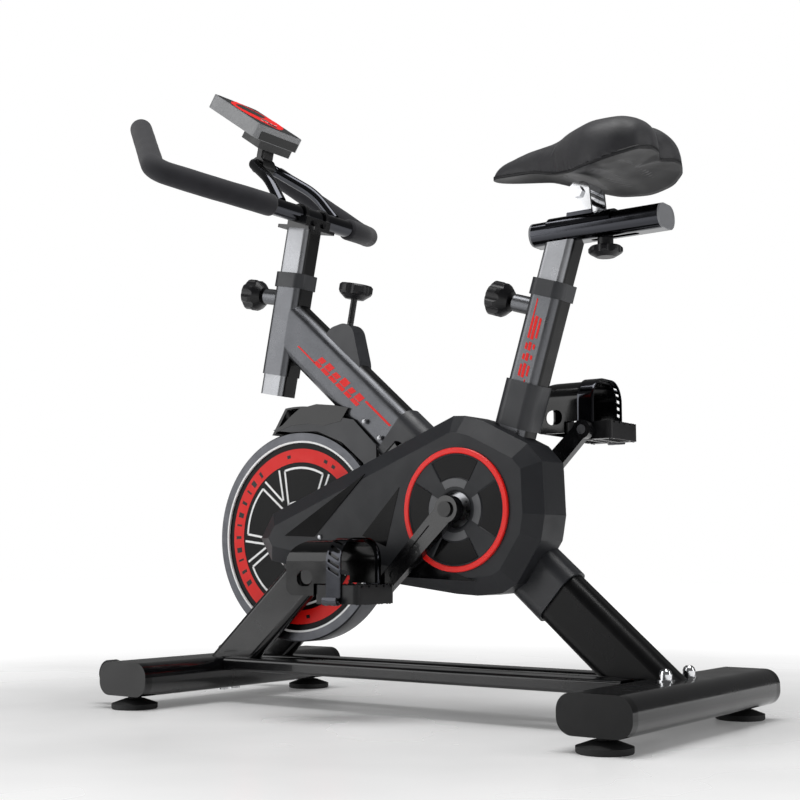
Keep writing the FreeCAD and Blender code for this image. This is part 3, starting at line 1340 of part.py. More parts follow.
def rounded_path(points, radii):
    """Straight runs joined by tangent arcs."""
    edges, start = [], points[0]
    for index in range(1, len(points) - 1):
        corner, radius = points[index], radii[index - 1]
        back = (points[index - 1] - corner).normalize()
        ahead = (points[index + 1] - corner).normalize()
        half = back.getAngle(ahead) / 2
        trim = radius / math.tan(half)
        entry, leave = corner + back * trim, corner + ahead * trim
        bisector = (back + ahead).normalize()
        middle = corner + bisector * (radius / math.sin(half) - radius)
        edges.append(Part.LineSegment(start, entry).toShape())
        edges.append(Part.Arc(entry, middle, leave).toShape())
        start = leave
    edges.append(Part.LineSegment(start, points[-1]).toShape())
    return Part.Wire(edges)


def swept(path, radius):
    """A round bar along a path."""
    first = path.Edges[0]
    point = first.valueAt(first.FirstParameter)
    way = first.tangentAt(first.FirstParameter)
    ring = Part.Wire(Part.makeCircle(radius, point, way))
    return path.makePipeShell([ring], True, False)


def make_handlebar():
    """One bent tube with foam grips over both ends."""
    left, right = bar_points(-1), bar_points(1)
    radii = [110, 110, 30]
    points = left[::-1] + right
    path = rounded_path(points, radii[2:] + [110, 110, 110, 110] + radii[2:])
    outer = swept(path, N["bar_radius"])
    inner = swept(path, N["bar_radius"] - N["tube_wall"])
    node(made("handlebar", outer.cut(inner)))
    grips = []
    for side, half in ((-1, left), (1, right)):
        start = Vector(N["bar_x"], side * N["grip_start"], BAR_Z)
        tip = half[3] + (half[3] - half[2]).normalize() * 4
        path = rounded_path([start] + half[:3] + [tip], [110, 110, 30])
        sleeve = swept(path, N["grip_radius"])
        grips.append(made("grip_%s" % ("left" if side < 0 else "right"), sleeve.cut(outer)))
    node(gather("hand_grips", *grips))


def loop_points():
    x, z, r = N["bar_x"], BAR_Z, N["bar_radius"]
    return [Vector(x - 4, 68, z + r - 2), Vector(x - 38, 58, z + 58), Vector(x - 104, 26, z + 104),
            Vector(x - 104, -26, z + 104), Vector(x - 38, -58, z + 58), Vector(x - 4, -68, z + r - 2)]


def make_loop():
    """The bent tube that carries the console, standing on the crossbar."""
    path = rounded_path(loop_points(), [120, 17, 17, 120])
    loop = made("loop_whole", swept(path, N["loop_radius"]))
    x, z = N["bar_x"], BAR_Z
    bar = rod("loop_bar_room", D["bar_radius"], 300, across(x, -150, z))
    node(cut("console_loop", loop, bar))


def make_bar_post():
    """The post inside the head sleeve, with the plate and the clamp that hold the handlebar."""
    length = D["post_below"] + D["head_length"] + D["post_above"]
    start = -N["head_length"] - N["post_below"]
    outer = post_bar("bar_post_outer", HEAD, D["head_deep"], start, length, 0)
    inner = post_bar("bar_post_inner", HEAD, D["head_deep"], start, length, -1 * D["tube_wall"])
    holes = height_holes("bar_post", HEAD, 1, 4)
    node(cut("bar_post", outer, inner, *holes))
    top = along(HEAD, N["post_above"])
    plate = bar_of("clamp_plate", 78, 62, 5, 8, along(top, 0, 4))
    base = block("clamp_base", 40, 60, 30, Placement(along(top, 4, -12).Base - Vector(0, 30, 0),
                                                     top.Rotation))
    base_top = BAR_Z - 6
    bar = rod("clamp_bar_room", D["bar_radius"], 200, across(N["bar_x"], -100, BAR_Z))
    above = block("clamp_above", 200, 200, 100, at(N["bar_x"] - 100, -100, base_top))
    below = block("clamp_below", 200, 200, 100, at(N["bar_x"] - 100, -100, base_top - 100))
    nuts = [rod("clamp_nut_%d" % number, 4, 7, Placement(Vector(N["bar_x"] + 14, y, base_top - 9),
                                                         Rotation(Vector(0, 1, 0), 90)))
            for number, y in enumerate((-12, 12))]
    lower = cut("bar_clamp_base", fuse("clamp_lower", plate, base, *nuts), bar, above)
    straps = [cut("bar_clamp_strap_%d" % number, rod("clamp_ring_%d" % number, D["bar_radius"] + 3.5, 8,
                                                     across(N["bar_x"], y, BAR_Z)), bar, below)
              for number, y in enumerate((-29, 21))]
    node(gather("bar_clamp", lower, *straps))


def console_place():
    """The pivot at the top of the loop; the case sits ahead of it, tilted towards the rider."""
    top = loop_points()[2]
    return Vector(top.x, 0, top.z)


def make_console():
    """The display case on a short stem that clamps on the loop."""
    pivot = console_place()
    centre = Vector(pivot.x - 19, 0, pivot.z + 79)
    turn = Rotation(Vector(0, 1, 0), N["console_tilt"])
    case = prism("console_case", box_outline(D["console_long"], D["console_wide"]), D["console_thick"],
                 middle=True, rounds={index: 9 for index in range(4)}, place=Placement(centre, turn))
    box_base = centre + turn.multVec(Vector(46, 0, -N["console_thick"] / 2))
    box = block("console_box", 44, 78, 14, Placement(box_base + turn.multVec(Vector(-22, -39, -13.5)), turn))
    reach = box_base + turn.multVec(Vector(0, 0, -6)) - pivot
    lean = math.degrees(math.atan2(reach.x, reach.z))
    stem_place = leaning(pivot.x, 0, pivot.z, lean)
    stem = bar_of("console_stem", 16, 28, reach.Length, 4, stem_place)
    clip = rod("console_clip", 14, 30, across(pivot.x, -15, pivot.z))
    grip = rod("console_clip_bore", N["loop_radius"] + 0.08, 80, across(pivot.x, -40, pivot.z))
    button = turn.multVec(Vector(38, 0, N["console_thick"] / 2))
    place = Placement(centre + button, turn)
    whole = fuse("console_whole", case, box, stem, clip)
    key_room = rod("key_room", 9.4, 8, along(place, -5))
    node(cut("console", whole, grip, key_room))
    node(rod("console_button", 9, 4.5, along(place, -3)))


def check_and_write():
    """Stop on any failed object, then write one STEP file for each sub-part."""
    DOC.recompute()
    for item in DOC.Objects:
        bad = [state for state in item.State if state in ("Invalid", "Error")]
        if bad:
            raise RuntimeError("%s is %s" % (item.Label, bad))
    os.makedirs("parts", exist_ok=True)
    for item in NODES:
        shape = item.Shape
        if shape.isNull() or not shape.isValid() or not shape.Solids:
            raise RuntimeError("%s has no valid solid" % item.Label)
        shape.exportStep("parts/%s.step" % item.Label)
        print("%-32s %2d solids %12.0f mm3" % (item.Label, len(shape.Solids), shape.Volume))
    print(len(NODES), "sub-parts")


make_stabilisers()
make_bolts()
make_base_rails()
make_feet()
make_transport()
make_frame()
make_fork()
make_bearings()
make_collars()
make_flywheel()
make_drive()
make_cranks()
for name, sign in SIDES:
    make_pedal(name, sign)
ROOMS = cover_room()
make_covers(ROOMS)
make_trim()
make_cover_collars(ROOMS)
make_screws()
make_guard()
make_brake()
make_seat_post()
make_seat_rail()
make_slider()
make_saddle()
make_pins()
make_handlebar()
make_loop()
make_bar_post()
make_console()
check_and_write()
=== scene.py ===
# %% [markdown]
# # An indoor spin bike
# The bike stands on four rubber feet. Its frame, wheel, cranks, cover and posts come from the engineering
# model, so this script never moves them: it gives them their real finishes, and models what engineering
# leaves plain, such as the padded saddle, the foam grips, the toe straps and the printed graphics.
# +X points to the rear of the bike, -Y to the rider's left, which is the belt side, and +Z up.

# %% Load the frame
import math

import bmesh
import bpy
import numpy as np
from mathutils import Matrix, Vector


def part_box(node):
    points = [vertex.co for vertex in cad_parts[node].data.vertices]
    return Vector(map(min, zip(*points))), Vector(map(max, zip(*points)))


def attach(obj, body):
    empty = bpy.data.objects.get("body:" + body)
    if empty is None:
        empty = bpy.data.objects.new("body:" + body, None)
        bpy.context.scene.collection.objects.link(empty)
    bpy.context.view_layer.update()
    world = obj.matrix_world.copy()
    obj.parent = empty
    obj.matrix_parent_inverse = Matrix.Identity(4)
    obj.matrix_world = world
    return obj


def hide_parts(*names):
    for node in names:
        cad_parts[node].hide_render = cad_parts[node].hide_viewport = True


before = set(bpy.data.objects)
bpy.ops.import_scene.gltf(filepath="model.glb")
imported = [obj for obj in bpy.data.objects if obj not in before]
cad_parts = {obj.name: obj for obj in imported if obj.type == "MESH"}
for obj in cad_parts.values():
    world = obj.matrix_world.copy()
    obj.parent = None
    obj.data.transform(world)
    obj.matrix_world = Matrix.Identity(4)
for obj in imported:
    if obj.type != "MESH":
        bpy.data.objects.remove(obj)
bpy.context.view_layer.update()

MM = 0.001


# %% [markdown]
# Lengths are in millimetres and are turned to metres where a mesh is made. The slopes of the main tubes
# come from the engineering model, so that graphics can lie on them.

# %% Driving sizes
BACKBONE_SLOPE = math.radians(41.0)
SEAT_LEAN = math.radians(17.4)
TUBE_HALF = 22.5
DECAL_THICK = 0.35
CONSOLE_TILT = math.radians(35.0)
CONSOLE_CENTRE = np.array([-354.0, 0.0, 962.0])
CONSOLE_DOWN = np.array([math.cos(CONSOLE_TILT), 0.0, -math.sin(CONSOLE_TILT)])
CONSOLE_OUT = np.array([math.sin(CONSOLE_TILT), 0.0, math.cos(CONSOLE_TILT)])
COVER_FACE = -68.0
SIDES = ((-1, "left"), (1, "right"))


def middle_of(node):
    """Half way between the lowest and the highest corner of a node, in millimetres."""
    low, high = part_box(node)
    return (np.array(low) + np.array(high)) / 2 / MM


def top_corner_of(node):
    """The highest corner of a node, in millimetres."""
    return np.array(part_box(node)[1]) / MM


AXLE = middle_of("flywheel")
CRANK = middle_of("crank_pulley")
print("flywheel axis at", AXLE.round(1), "and crank axis at", CRANK.round(1))


# %% [markdown]
# ## Two helpers for materials
# Colours are picked as sRGB hex values, while shaders work with linear light, so one function turns one
# into the other. Another adds any node with its settings and links.

# %% Colour and node helpers
def linear(hex_colour):
    """sRGB to linear light: low values are divided by 12.92, others follow the 2.4 power curve."""
    value = np.array([int(hex_colour[i:i + 2], 16) for i in (1, 3, 5)]) / 255
    light = np.where(value <= 0.04045, value / 12.92, ((value + 0.055) / 1.055) ** 2.4)
    return (*light.tolist(), 1.0)


def add(tree, kind, inputs=None, **settings):
    """Add one node; an input is a plain value, or another node's output to link from."""
    node = tree.nodes.new(kind)
    for key, value in settings.items():
        setattr(node, key, value)
    for key, value in (inputs or {}).items():
        if isinstance(value, bpy.types.NodeSocket):
            tree.links.new(value, node.inputs[key])
        else:
            node.inputs[key].default_value = value
    return node


def new_finish(name, hex_colour, roughness, metallic=0.0, **shader_values):
    """A material with one Principled shader, and the object's own coordinates to pattern it with."""
    material = bpy.data.materials.new(name)
    material.use_nodes = True
    tree = material.node_tree
    shader = tree.nodes["Principled BSDF"]
    shader.inputs["Base Color"].default_value = linear(hex_colour)
    shader.inputs["Roughness"].default_value = roughness
    shader.inputs["Metallic"].default_value = metallic
    for key, value in shader_values.items():
        shader.inputs[key.replace("_", " ")].default_value = value
    place = add(tree, "ShaderNodeTexCoord").outputs["Object"]
    return material, tree, shader, place


def noise(tree, place, size_mm, detail=2.0):
    """Soft noise whose blotches are about size_mm across."""
    return add(tree, "ShaderNodeTexNoise", {"Vector": place, "Scale": 1000 / size_mm,
                                            "Detail": detail}).outputs[0]


def vary(tree, shader, pattern, socket, low, high):
    """Let a pattern carry one of the shader's numbers from low to high."""
    spread = add(tree, "ShaderNodeMapRange", {"Value": pattern, "From Min": 0.3, "From Max": 0.7,
                                              "To Min": low, "To Max": high})
    tree.links.new(spread.outputs["Result"], shader.inputs[socket])


def tint(tree, shader, pattern, dark, light):
    """Let a pattern carry the colour from a dark to a light tone, each a hex value or a node's output."""
    dark, light = (linear(tone) if isinstance(tone, str) else tone for tone in (dark, light))
    mix = add(tree, "ShaderNodeMix", {"Factor": pattern, "A": dark, "B": light}, data_type="RGBA").outputs[2]
    tree.links.new(mix, shader.inputs["Base Color"])
    return mix


def relief(tree, shader, pattern, height_mm, strength=1.0):
    """Let a pattern raise and lower the surface by a real height."""
    bump = add(tree, "ShaderNodeBump", {"Height": pattern, "Distance": height_mm * MM, "Strength": strength})
    tree.links.new(bump.outputs["Normal"], shader.inputs["Normal"])


# %% [markdown]
# ## Painted steel
# The tubes are gloss enamel over steel. Sprayed enamel flows before it cures, which leaves the faint
# waviness called orange peel, about three millimetres from crest to crest. The main tubes and posts carry
# painted light: a light metallic tone on the flanks and black on the front and rear faces, mixed in by how
# squarely the surface faces sideways, as a painted reflection and painted shade.

# %% Black enamel, and graphite enamel with painted side light
PEEL, FLAKE = 3.0, 0.5
PAST_THE_BIKE = 9000.0


def make_black_enamel():
    """Gloss black stove enamel: a dark base under a clear, slightly wavy coat."""
    material, tree, shader, place = new_finish("black_stove_enamel", "#08080a", 0.2, 0.0, Coat_Weight=0.35,
                                               Coat_Roughness=0.05, Specular_IOR_Level=0.35)
    vary(tree, shader, noise(tree, place, 60.0, 4.0), "Roughness", 0.16, 0.3)
    relief(tree, shader, noise(tree, place, PEEL), 0.012)
    return material


def make_enamel_with_painted_side_light(name, light, dark, black_from=PAST_THE_BIKE):
    """Painted reflection and painted shade: a light metallic tone on the flanks and black on the front and
    rear faces, chosen by which way the surface faces; and black all round behind the given X."""
    material, tree, shader, place = new_finish(name, light, 0.3, 0.85, Specular_IOR_Level=0.2)
    # This mask paints light by facing: flanks get a painted reflection, front and rear faces painted shade.
    facing = add(tree, "ShaderNodeSeparateXYZ", {"Vector": add(tree, "ShaderNodeTexCoord").outputs["Normal"]})
    side = add(tree, "ShaderNodeMath", {0: facing.outputs["Y"]}, operation="ABSOLUTE")
    square = add(tree, "ShaderNodeMapRange", {"Value": side.outputs[0], "From Min": 0.42, "From Max": 0.62})
    spot = add(tree, "ShaderNodeSeparateXYZ", {"Vector": place})
    ahead = add(tree, "ShaderNodeMath", {0: spot.outputs["X"], 1: black_from * MM}, operation="LESS_THAN")
    edge = add(tree, "ShaderNodeMath", {0: square.outputs["Result"], 1: ahead.outputs[0]},
               operation="MULTIPLY")
    flake = add(tree, "ShaderNodeTexVoronoi", {"Vector": place, "Scale": 1000 / FLAKE})
    tone = tint(tree, shader, flake.outputs["Color"], dark, light)
    # Painted shade: faces turned to the front or rear get black, and the flanks the light metallic tone.
    tint(tree, shader, edge.outputs[0], "#070708", tone)
    metal = add(tree, "ShaderNodeMath", {0: edge.outputs[0], 1: 0.85}, operation="MULTIPLY")
    tree.links.new(metal.outputs[0], shader.inputs["Metallic"])
    vary(tree, shader, noise(tree, place, 40.0, 3.0), "Roughness", 0.24, 0.36)
    relief(tree, shader, noise(tree, place, PEEL), 0.01)
    return material


BLACK_ENAMEL = make_black_enamel()
# Sleeves, backbone and posts get the painted side light: lighter flanks, black front and rear faces.
GRAPHITE_PAINTED_SIDE_LIGHT = make_enamel_with_painted_side_light("graphite_painted_side_light", "#6a6b6e", "#535457")
BACKBONE_PAINTED_SIDE_LIGHT = make_enamel_with_painted_side_light("graphite_painted_side_light_to_black", "#5a5b5e", "#444548", 60.0)
SILVER_PAINTED_SIDE_LIGHT = make_enamel_with_painted_side_light("silver_painted_side_light", "#97989b", "#7f8083")
print("made", BLACK_ENAMEL.name, GRAPHITE_PAINTED_SIDE_LIGHT.name, BACKBONE_PAINTED_SIDE_LIGHT.name, SILVER_PAINTED_SIDE_LIGHT.name)


# %% [markdown]
# ## Plated and turned metal
# Nuts and brackets are bright chrome, the handlebar and the seat rail are black chrome, and the flywheel's
# rim is turned iron under a clear lacquer: the lathe leaves rings about a millimetre apart.

# %% Metals
LATHE_PITCH, WEB_RADIUS = 1.1, 149.2


def make_plate(name, hex_colour, low, high, scratch_mm):
    """A plated metal whose polish differs a little from place to place."""
    material, tree, shader, place = new_finish(name, hex_colour, low, 1.0)
    vary(tree, shader, noise(tree, place, scratch_mm, 6.0), "Roughness", low, high)
    relief(tree, shader, noise(tree, place, 9.0), 0.02, 0.6)
    return material


def axis_radius(tree, place, centre):
    """Distance from an axis along Y: the length of the X and Z parts measured from its centre."""
    origin = (-centre[0] * MM, 0, -centre[2] * MM)
    shift = add(tree, "ShaderNodeMapping", {"Vector": place, "Location": origin, "Scale": (1, 0, 1)})
    return add(tree, "ShaderNodeVectorMath", {0: shift.outputs[0]}, operation="LENGTH").outputs["Value"]


def make_turned_iron():
    """Lacquered iron: bright turned rim and tread, and a black painted web inside them."""
    material, tree, shader, place = new_finish("turned_iron", "#8f9193", 0.3, 0.9, Specular_IOR_Level=0.12)
    radius = axis_radius(tree, place, AXLE)
    rings = add(tree, "ShaderNodeMath", {0: radius, 1: 2 * math.pi * 1000 / LATHE_PITCH},
                operation="MULTIPLY")
    groove = add(tree, "ShaderNodeMath", {0: rings.outputs[0]}, operation="SINE")
    web = add(tree, "ShaderNodeMath", {0: radius, 1: WEB_RADIUS * MM}, operation="GREATER_THAN")
    worn = tint(tree, shader, noise(tree, place, 18.0, 5.0), "#3f4043", "#5c5d61")
    tint(tree, shader, web.outputs[0], "#060607", worn)
    tree.links.new(web.outputs[0], shader.inputs["Metallic"])
    relief(tree, shader, groove.outputs[0], 0.02)
    return material


CHANNEL_TOP = top_corner_of("seat_rail")[2] + 4.6


def make_slider_plate():
    """Bright chrome cheeks over a channel in black chrome: the colour changes just above the rail's top."""
    material, tree, shader, place = new_finish("chrome_over_black_chrome", "#d9dadc", 0.12, 1.0)
    height = add(tree, "ShaderNodeSeparateXYZ", {"Vector": place})
    above = add(tree, "ShaderNodeMath", {0: height.outputs["Z"], 1: CHANNEL_TOP * MM},
                operation="GREATER_THAN")
    tint(tree, shader, above.outputs[0], "#3d3e42", "#c4c5c7")
    vary(tree, shader, noise(tree, place, 25.0, 6.0), "Roughness", 0.07, 0.2)
    return material


SLIDER_PLATE = make_slider_plate()
CHROME = make_plate("bright_chrome", "#d9dadc", 0.05, 0.16, 25.0)
BLACK_CHROME = make_plate("black_chrome", "#3d3e42", 0.07, 0.18, 30.0)
STEEL = make_plate("zinc_plated_steel", "#9c9da0", 0.22, 0.4, 12.0)
TURNED_IRON = make_turned_iron()
print("made", CHROME.name, BLACK_CHROME.name, STEEL.name, TURNED_IRON.name)


# %% [markdown]
# ## Plastics and rubber
# The belt cover is moulded ABS with a spark-eroded texture, which scatters light to a soft grey. The toe
# cages, caps and knobs come from polished moulds, so they shine. Rubber hardly shines. Each row gives a
# name, a colour, the lowest and highest roughness, the grain's width and height, and the specular level.

# %% Plastics
def make_moulded(name, hex_colour, low, high, grain_mm, grain_height, glint):
    """Moulded plastic: one dyed colour, a fine grain from the mould, and polish that wears unevenly."""
    material, tree, shader, place = new_finish(name, hex_colour, low, Specular_IOR_Level=glint)
    vary(tree, shader, noise(tree, place, 35.0, 5.0), "Roughness", low, high)
    relief(tree, shader, noise(tree, place, grain_mm, 3.0), grain_height)
    return material


MOULDED = (
    ("textured_abs", "#222326", 0.36, 0.48, 0.9, 0.05, 0.25),
    ("polished_abs", "#080809", 0.1, 0.22, 4.0, 0.02, 0.35),
    ("satin_nylon", "#121214", 0.3, 0.44, 0.8, 0.03, 0.3),
    ("red_abs", "#e51c16", 0.26, 0.38, 1.2, 0.015, 0.3),
    ("grey_abs", "#6f7073", 0.34, 0.46, 0.9, 0.03, 0.5),
    ("moulded_rubber", "#141415", 0.62, 0.78, 0.7, 0.06, 0.5),
    ("belt_rubber", "#111112", 0.7, 0.85, 0.6, 0.08, 0.5),
    ("grey_textured_abs", "#2c2d30", 0.3, 0.42, 0.9, 0.05, 0.35),
    # Smoked acrylic for the real windows, also used as painted shade on the cover's facets.
    ("smoked_acrylic_and_facet_shade", "#060607", 0.1, 0.18, 6.0, 0.01, 0.1),
    # Mid grey is painted light on the trim disc's sloping arcs.
    ("mid_grey_abs_painted_light", "#47484b", 0.3, 0.42, 0.9, 0.03, 0.5),
    ("pan_polypropylene", "#141416", 0.42, 0.55, 1.4, 0.04, 0.25),
)
(COVER_PLASTIC, GLOSS_PLASTIC, SATIN_PLASTIC, RED_PLASTIC, GREY_PLASTIC, RUBBER, BELT_RUBBER,
 GREY_COVER_PLASTIC, PANE_AND_FACET_SHADE_PLASTIC, ARC_PAINTED_LIGHT_PLASTIC, PAN_PLASTIC) = [make_moulded(*row) for row in MOULDED]


CASE_HALF = 12.2


def make_console_plastic():
    """The display case is grey, while the battery box, stem and clip under it are black: the colour
    changes where the distance below the case's middle plane passes half its thickness."""
    material, tree, shader, place = new_finish("two_tone_abs", "#7c7d7f", 0.34)
    level = add(tree, "ShaderNodeVectorMath", {0: place, 1: CONSOLE_OUT}, operation="DOT_PRODUCT")
    case = CONSOLE_CENTRE @ CONSOLE_OUT * MM
    above = add(tree, "ShaderNodeMath", {0: level.outputs["Value"], 1: float(case) - CASE_HALF * MM},
                operation="GREATER_THAN")
    tint(tree, shader, above.outputs[0], "#0d0d0e", "#7c7d7f")
    vary(tree, shader, noise(tree, place, 30.0, 4.0), "Roughness", 0.28, 0.42)
    relief(tree, shader, noise(tree, place, 0.9, 3.0), 0.03)
    return material


CONSOLE_PLASTIC = make_console_plastic()
print("made", len(MOULDED) + 1, "plastics and rubbers")


# %% [markdown]
# ## Soft materials
# The saddle's skin is polyurethane leather with a pebbled grain of about a millimetre. The grips are
# closed-cell foam: matte, with tiny open pores.

# %% Saddle skin and foam
PEBBLE, PORE = 1.3, 0.8


def make_saddle_skin():
    """Pebbled polyurethane: rounded cells with narrow valleys, and a soft sheen."""
    material, tree, shader, place = new_finish("pebbled_polyurethane", "#232326", 0.5, 0.0, Sheen_Weight=0.08,
                                               Sheen_Roughness=0.4, Specular_IOR_Level=0.3)
    cells = add(tree, "ShaderNodeTexVoronoi", {"Vector": place, "Scale": 1000 / PEBBLE})
    tint(tree, shader, noise(tree, place, 45.0, 4.0), "#1e1e20", "#2c2c2f")
    vary(tree, shader, noise(tree, place, 30.0, 4.0), "Roughness", 0.42, 0.58)
    relief(tree, shader, cells.outputs["Distance"], 0.16, 0.7)
    return material


def make_foam():
    """Closed-cell foam: dull, a little paler where hands have rubbed it, pocked with fine pores."""
    material, tree, shader, place = new_finish("closed_cell_foam", "#202023", 0.85, 0.0, Sheen_Weight=0.12,
                                               Sheen_Roughness=0.5, Specular_IOR_Level=0.25)
    tint(tree, shader, noise(tree, place, 22.0, 4.0), "#1b1b1e", "#29292d")
    pores = add(tree, "ShaderNodeTexVoronoi", {"Vector": place, "Scale": 1000 / PORE})
    relief(tree, shader, pores.outputs["Distance"], 0.12, 0.8)
    return material


SADDLE_SKIN = make_saddle_skin()
FOAM = make_foam()
print("made", SADDLE_SKIN.name, "and", FOAM.name)


# %% [markdown]
# ## Printed vinyl and the display
# The graphics are thin vinyl, cut to shape and stuck on. They are bars, dashes and rings only.

# %% Vinyls and glass
def make_vinyl(name, hex_colour, roughness):
    """Vinyl film: an even colour, and the faint texture of the paint below."""
    material, tree, shader, place = new_finish(name, hex_colour, roughness, Specular_IOR_Level=0.25)
    vary(tree, shader, noise(tree, place, 15.0, 3.0), "Roughness", roughness - 0.06,
         roughness + 0.08)
    relief(tree, shader, noise(tree, place, 2.0), 0.01)
    return material


RED_VINYL = make_vinyl("red_vinyl", "#dd1712", 0.4)
WHITE_VINYL = make_vinyl("white_vinyl", "#f0f0f0", 0.35)
BLACK_VINYL = make_vinyl("black_vinyl", "#09090a", 0.3)
DISPLAY = make_vinyl("display_glass", "#59615e", 0.12)


# %% [markdown]
# ## A finish for every engineering node
# Each node of the frame is listed under the material that the real piece has.

# %% Dress the frame
DRESSED = {
    BLACK_ENAMEL: "front_fork base_rails front_stabiliser rear_stabiliser transport_bracket "
                  "bottom_bracket_shell crank_arm_left crank_arm_right brake_rod bar_clamp",
    GRAPHITE_PAINTED_SIDE_LIGHT: "head_sleeve seat_sleeve",
    BACKBONE_PAINTED_SIDE_LIGHT: "backbone_tube",
    SILVER_PAINTED_SIDE_LIGHT: "seat_post bar_post",
    BLACK_CHROME: "handlebar console_loop seat_rail bearings",
    SLIDER_PLATE: "saddle_slider",
    CHROME: "stabiliser_bolts saddle_clamp",
    STEEL: "flywheel_axle axle_pulley crank_pulley pedal_axles cover_screws",
    TURNED_IRON: "flywheel",
    COVER_PLASTIC: "left_belt_cover right_belt_cover",
    GREY_COVER_PLASTIC: "brake_housing guard_side_plates cover_collars post_collars",
    GLOSS_PLASTIC: "crank_spindle flywheel_guard cover_disc stabiliser_caps toe_cage_left toe_cage_right "
                   "toe_strap_left toe_strap_right",
    SATIN_PLASTIC: "pedal_left pedal_right brake_knob seat_pin bar_pin saddle_clamp_knob",
    RED_PLASTIC: "cover_ring",
    GREY_PLASTIC: "rail_end_plugs",
    CONSOLE_PLASTIC: "console",
    RUBBER: "levelling_foot_front_left levelling_foot_front_right levelling_foot_rear_left "
            "levelling_foot_rear_right transport_wheels console_button",
    BELT_RUBBER: "drive_belt",
    SADDLE_SKIN: "saddle",
    FOAM: "hand_grips",
}


def dress(node, material):
    """Give every material slot of a node the new finish."""
    if not node.material_slots:
        node.data.materials.append(material)
    for slot in node.material_slots:
        slot.material = material


for material, names in DRESSED.items():
    for name in names.split():
        dress(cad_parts[name], material)
left_plain = sorted(set(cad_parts) - set(" ".join(DRESSED.values()).split()))
print("nodes with no finish yet:", left_plain)


# %% [markdown]
# ## Surfaces from arrays
# Every new piece is a grid of points worked out with numpy. One function turns a grid into a mesh, one
# carries a section along a path, and one raises plates such as vinyl graphics from an outline.

# %% Mesh helpers
def unit(arrows):
    """Arrows of length one: each is divided by its own length."""
    arrows = np.asarray(arrows, float)
    return arrows / np.linalg.norm(arrows, axis=-1, keepdims=True)


def show(name, data):
    """A new object in the scene for a mesh, a lamp or a camera."""
    thing = bpy.data.objects.new(name, data)
    bpy.context.scene.collection.objects.link(thing)
    return thing


def new_object(name, points, faces, material, smooth=True):
    """A mesh object from points in millimetres and faces as lists of point numbers."""
    mesh = bpy.data.meshes.new(name)
    mesh.from_pydata((np.asarray(points).reshape(-1, 3) * MM).tolist(), [], faces)
    mesh.materials.append(material)
    mesh.polygons.foreach_set("use_smooth", np.full(len(mesh.polygons), smooth))
    mesh.update()
    return show(name, mesh)


def grid_faces(rows, columns, close_columns=True, close_rows=False):
    """Quads between neighbouring rows and columns; a closed direction joins its last line to its first."""
    row = np.arange(rows if close_rows else rows - 1)[:, None]
    column = np.arange(columns if close_columns else columns - 1)[None, :]
    next_row, next_column = (row + 1) % rows, (column + 1) % columns
    quads = np.stack([row * columns + column, row * columns + next_column,
                      next_row * columns + next_column, next_row * columns + column], axis=-1)
    return quads.reshape(-1, 4).tolist()


def outward_normals(piece):
    """Turn all faces of a closed mesh outwards."""
    shape = bmesh.new()
    shape.from_mesh(piece.data)
    bmesh.ops.remove_doubles(shape, verts=shape.verts, dist=1e-6)
    bmesh.ops.recalc_face_normals(shape, faces=shape.faces)
    shape.to_mesh(piece.data)
    shape.free()
    return piece


def loft(name, rings, material):
    """A closed skin over a stack of rings, shut by a flat face at each end."""
    rows, columns = rings.shape[:2]
    faces = grid_faces(rows, columns)
    faces.append(list(range(columns)))
    faces.append([(rows - 1) * columns + k for k in range(columns)][::-1])
    return outward_normals(new_object(name, rings, faces, material))


def ring_loop(name, rings, material):
    """A closed skin over rings that themselves run round in a loop, like a tyre."""
    rows, columns = rings.shape[:2]
    return outward_normals(new_object(name, rings, grid_faces(rows, columns, True, True), material))


def bent(points, radii, step=3.0):
    """Straight runs joined by arcs: each arc is tangent to both runs and has the radius given for its
    corner. The result is points about one step apart."""
    points = [np.array(point, float) for point in points]
    path = [points[0][None, :]]
    start = points[0]
    for before, corner, after, radius in zip(points, points[1:-1], points[2:], radii):
        back, ahead = unit(before - corner), unit(after - corner)
        half = np.arccos(np.clip(back @ ahead, -1, 1)) / 2
        trim = radius / np.tan(half)
        centre = corner + unit(back + ahead) * radius / np.sin(half)
        entry, leave = corner + back * trim, corner + ahead * trim
        turn = np.pi - 2 * half
        angle = np.linspace(0, 1, max(int(radius * turn / step), 4))[:, None] * turn
        first, second = (entry - centre) / radius, (leave - centre) / radius
        arc = centre + radius * (np.sin(turn - angle) * first + np.sin(angle) * second) / np.sin(turn)
        run = np.linspace(0, 1, max(int(np.linalg.norm(entry - start) / step), 2))[1:-1, None]
        path += [start + run * (entry - start), arc]
        start = leave
    run = np.linspace(0, 1, max(int(np.linalg.norm(points[-1] - start) / step), 2))[1:, None]
    path.append(start + run * (points[-1] - start))
    return np.concatenate(path)


def run_along(path):
    """Distance travelled from the first point of a path to each of its points."""
    return np.concatenate([[0], np.cumsum(np.linalg.norm(np.diff(path, axis=0), axis=1))])


def carried(path, sections):
    """Rings along a path: each point has its own section, drawn square to the path, with the second
    axis kept as near as possible to upright."""
    way = unit(np.gradient(path, axis=0))
    side = unit(np.cross(way, (0, 0, 1)))
    rise = np.cross(side, way)
    return path[:, None] + sections[..., :1] * side[:, None] + sections[..., 1:] * rise[:, None]


def polar(radius, degrees):
    """A point of a drawing: the cosine and the sine of its angle, times its distance."""
    angle = np.radians(degrees)
    return np.stack([radius * np.cos(angle), radius * np.sin(angle)], axis=-1)


def circle(radius, count):
    """Evenly spaced points round a circle."""
    return polar(radius, np.linspace(0, 360, count, endpoint=False))


class Sheet:
    """A flat drawing surface in space: its corner, its two directions and the way it faces."""

    def __init__(self, origin, across, up):
        self.origin, self.across, self.up = np.array(origin, float), unit(across), unit(up)
        self.out = np.cross(self.across, self.up)

    def lift(self, flat, height=0.0):
        """Points of a drawing, two numbers each, put into space. The height above the surface is one
        number, or one for each point."""
        flat, height = np.asarray(flat, float), np.asarray(height, float)[..., None]
        return self.origin + flat[..., :1] * self.across + flat[..., 1:2] * self.up + height * self.out


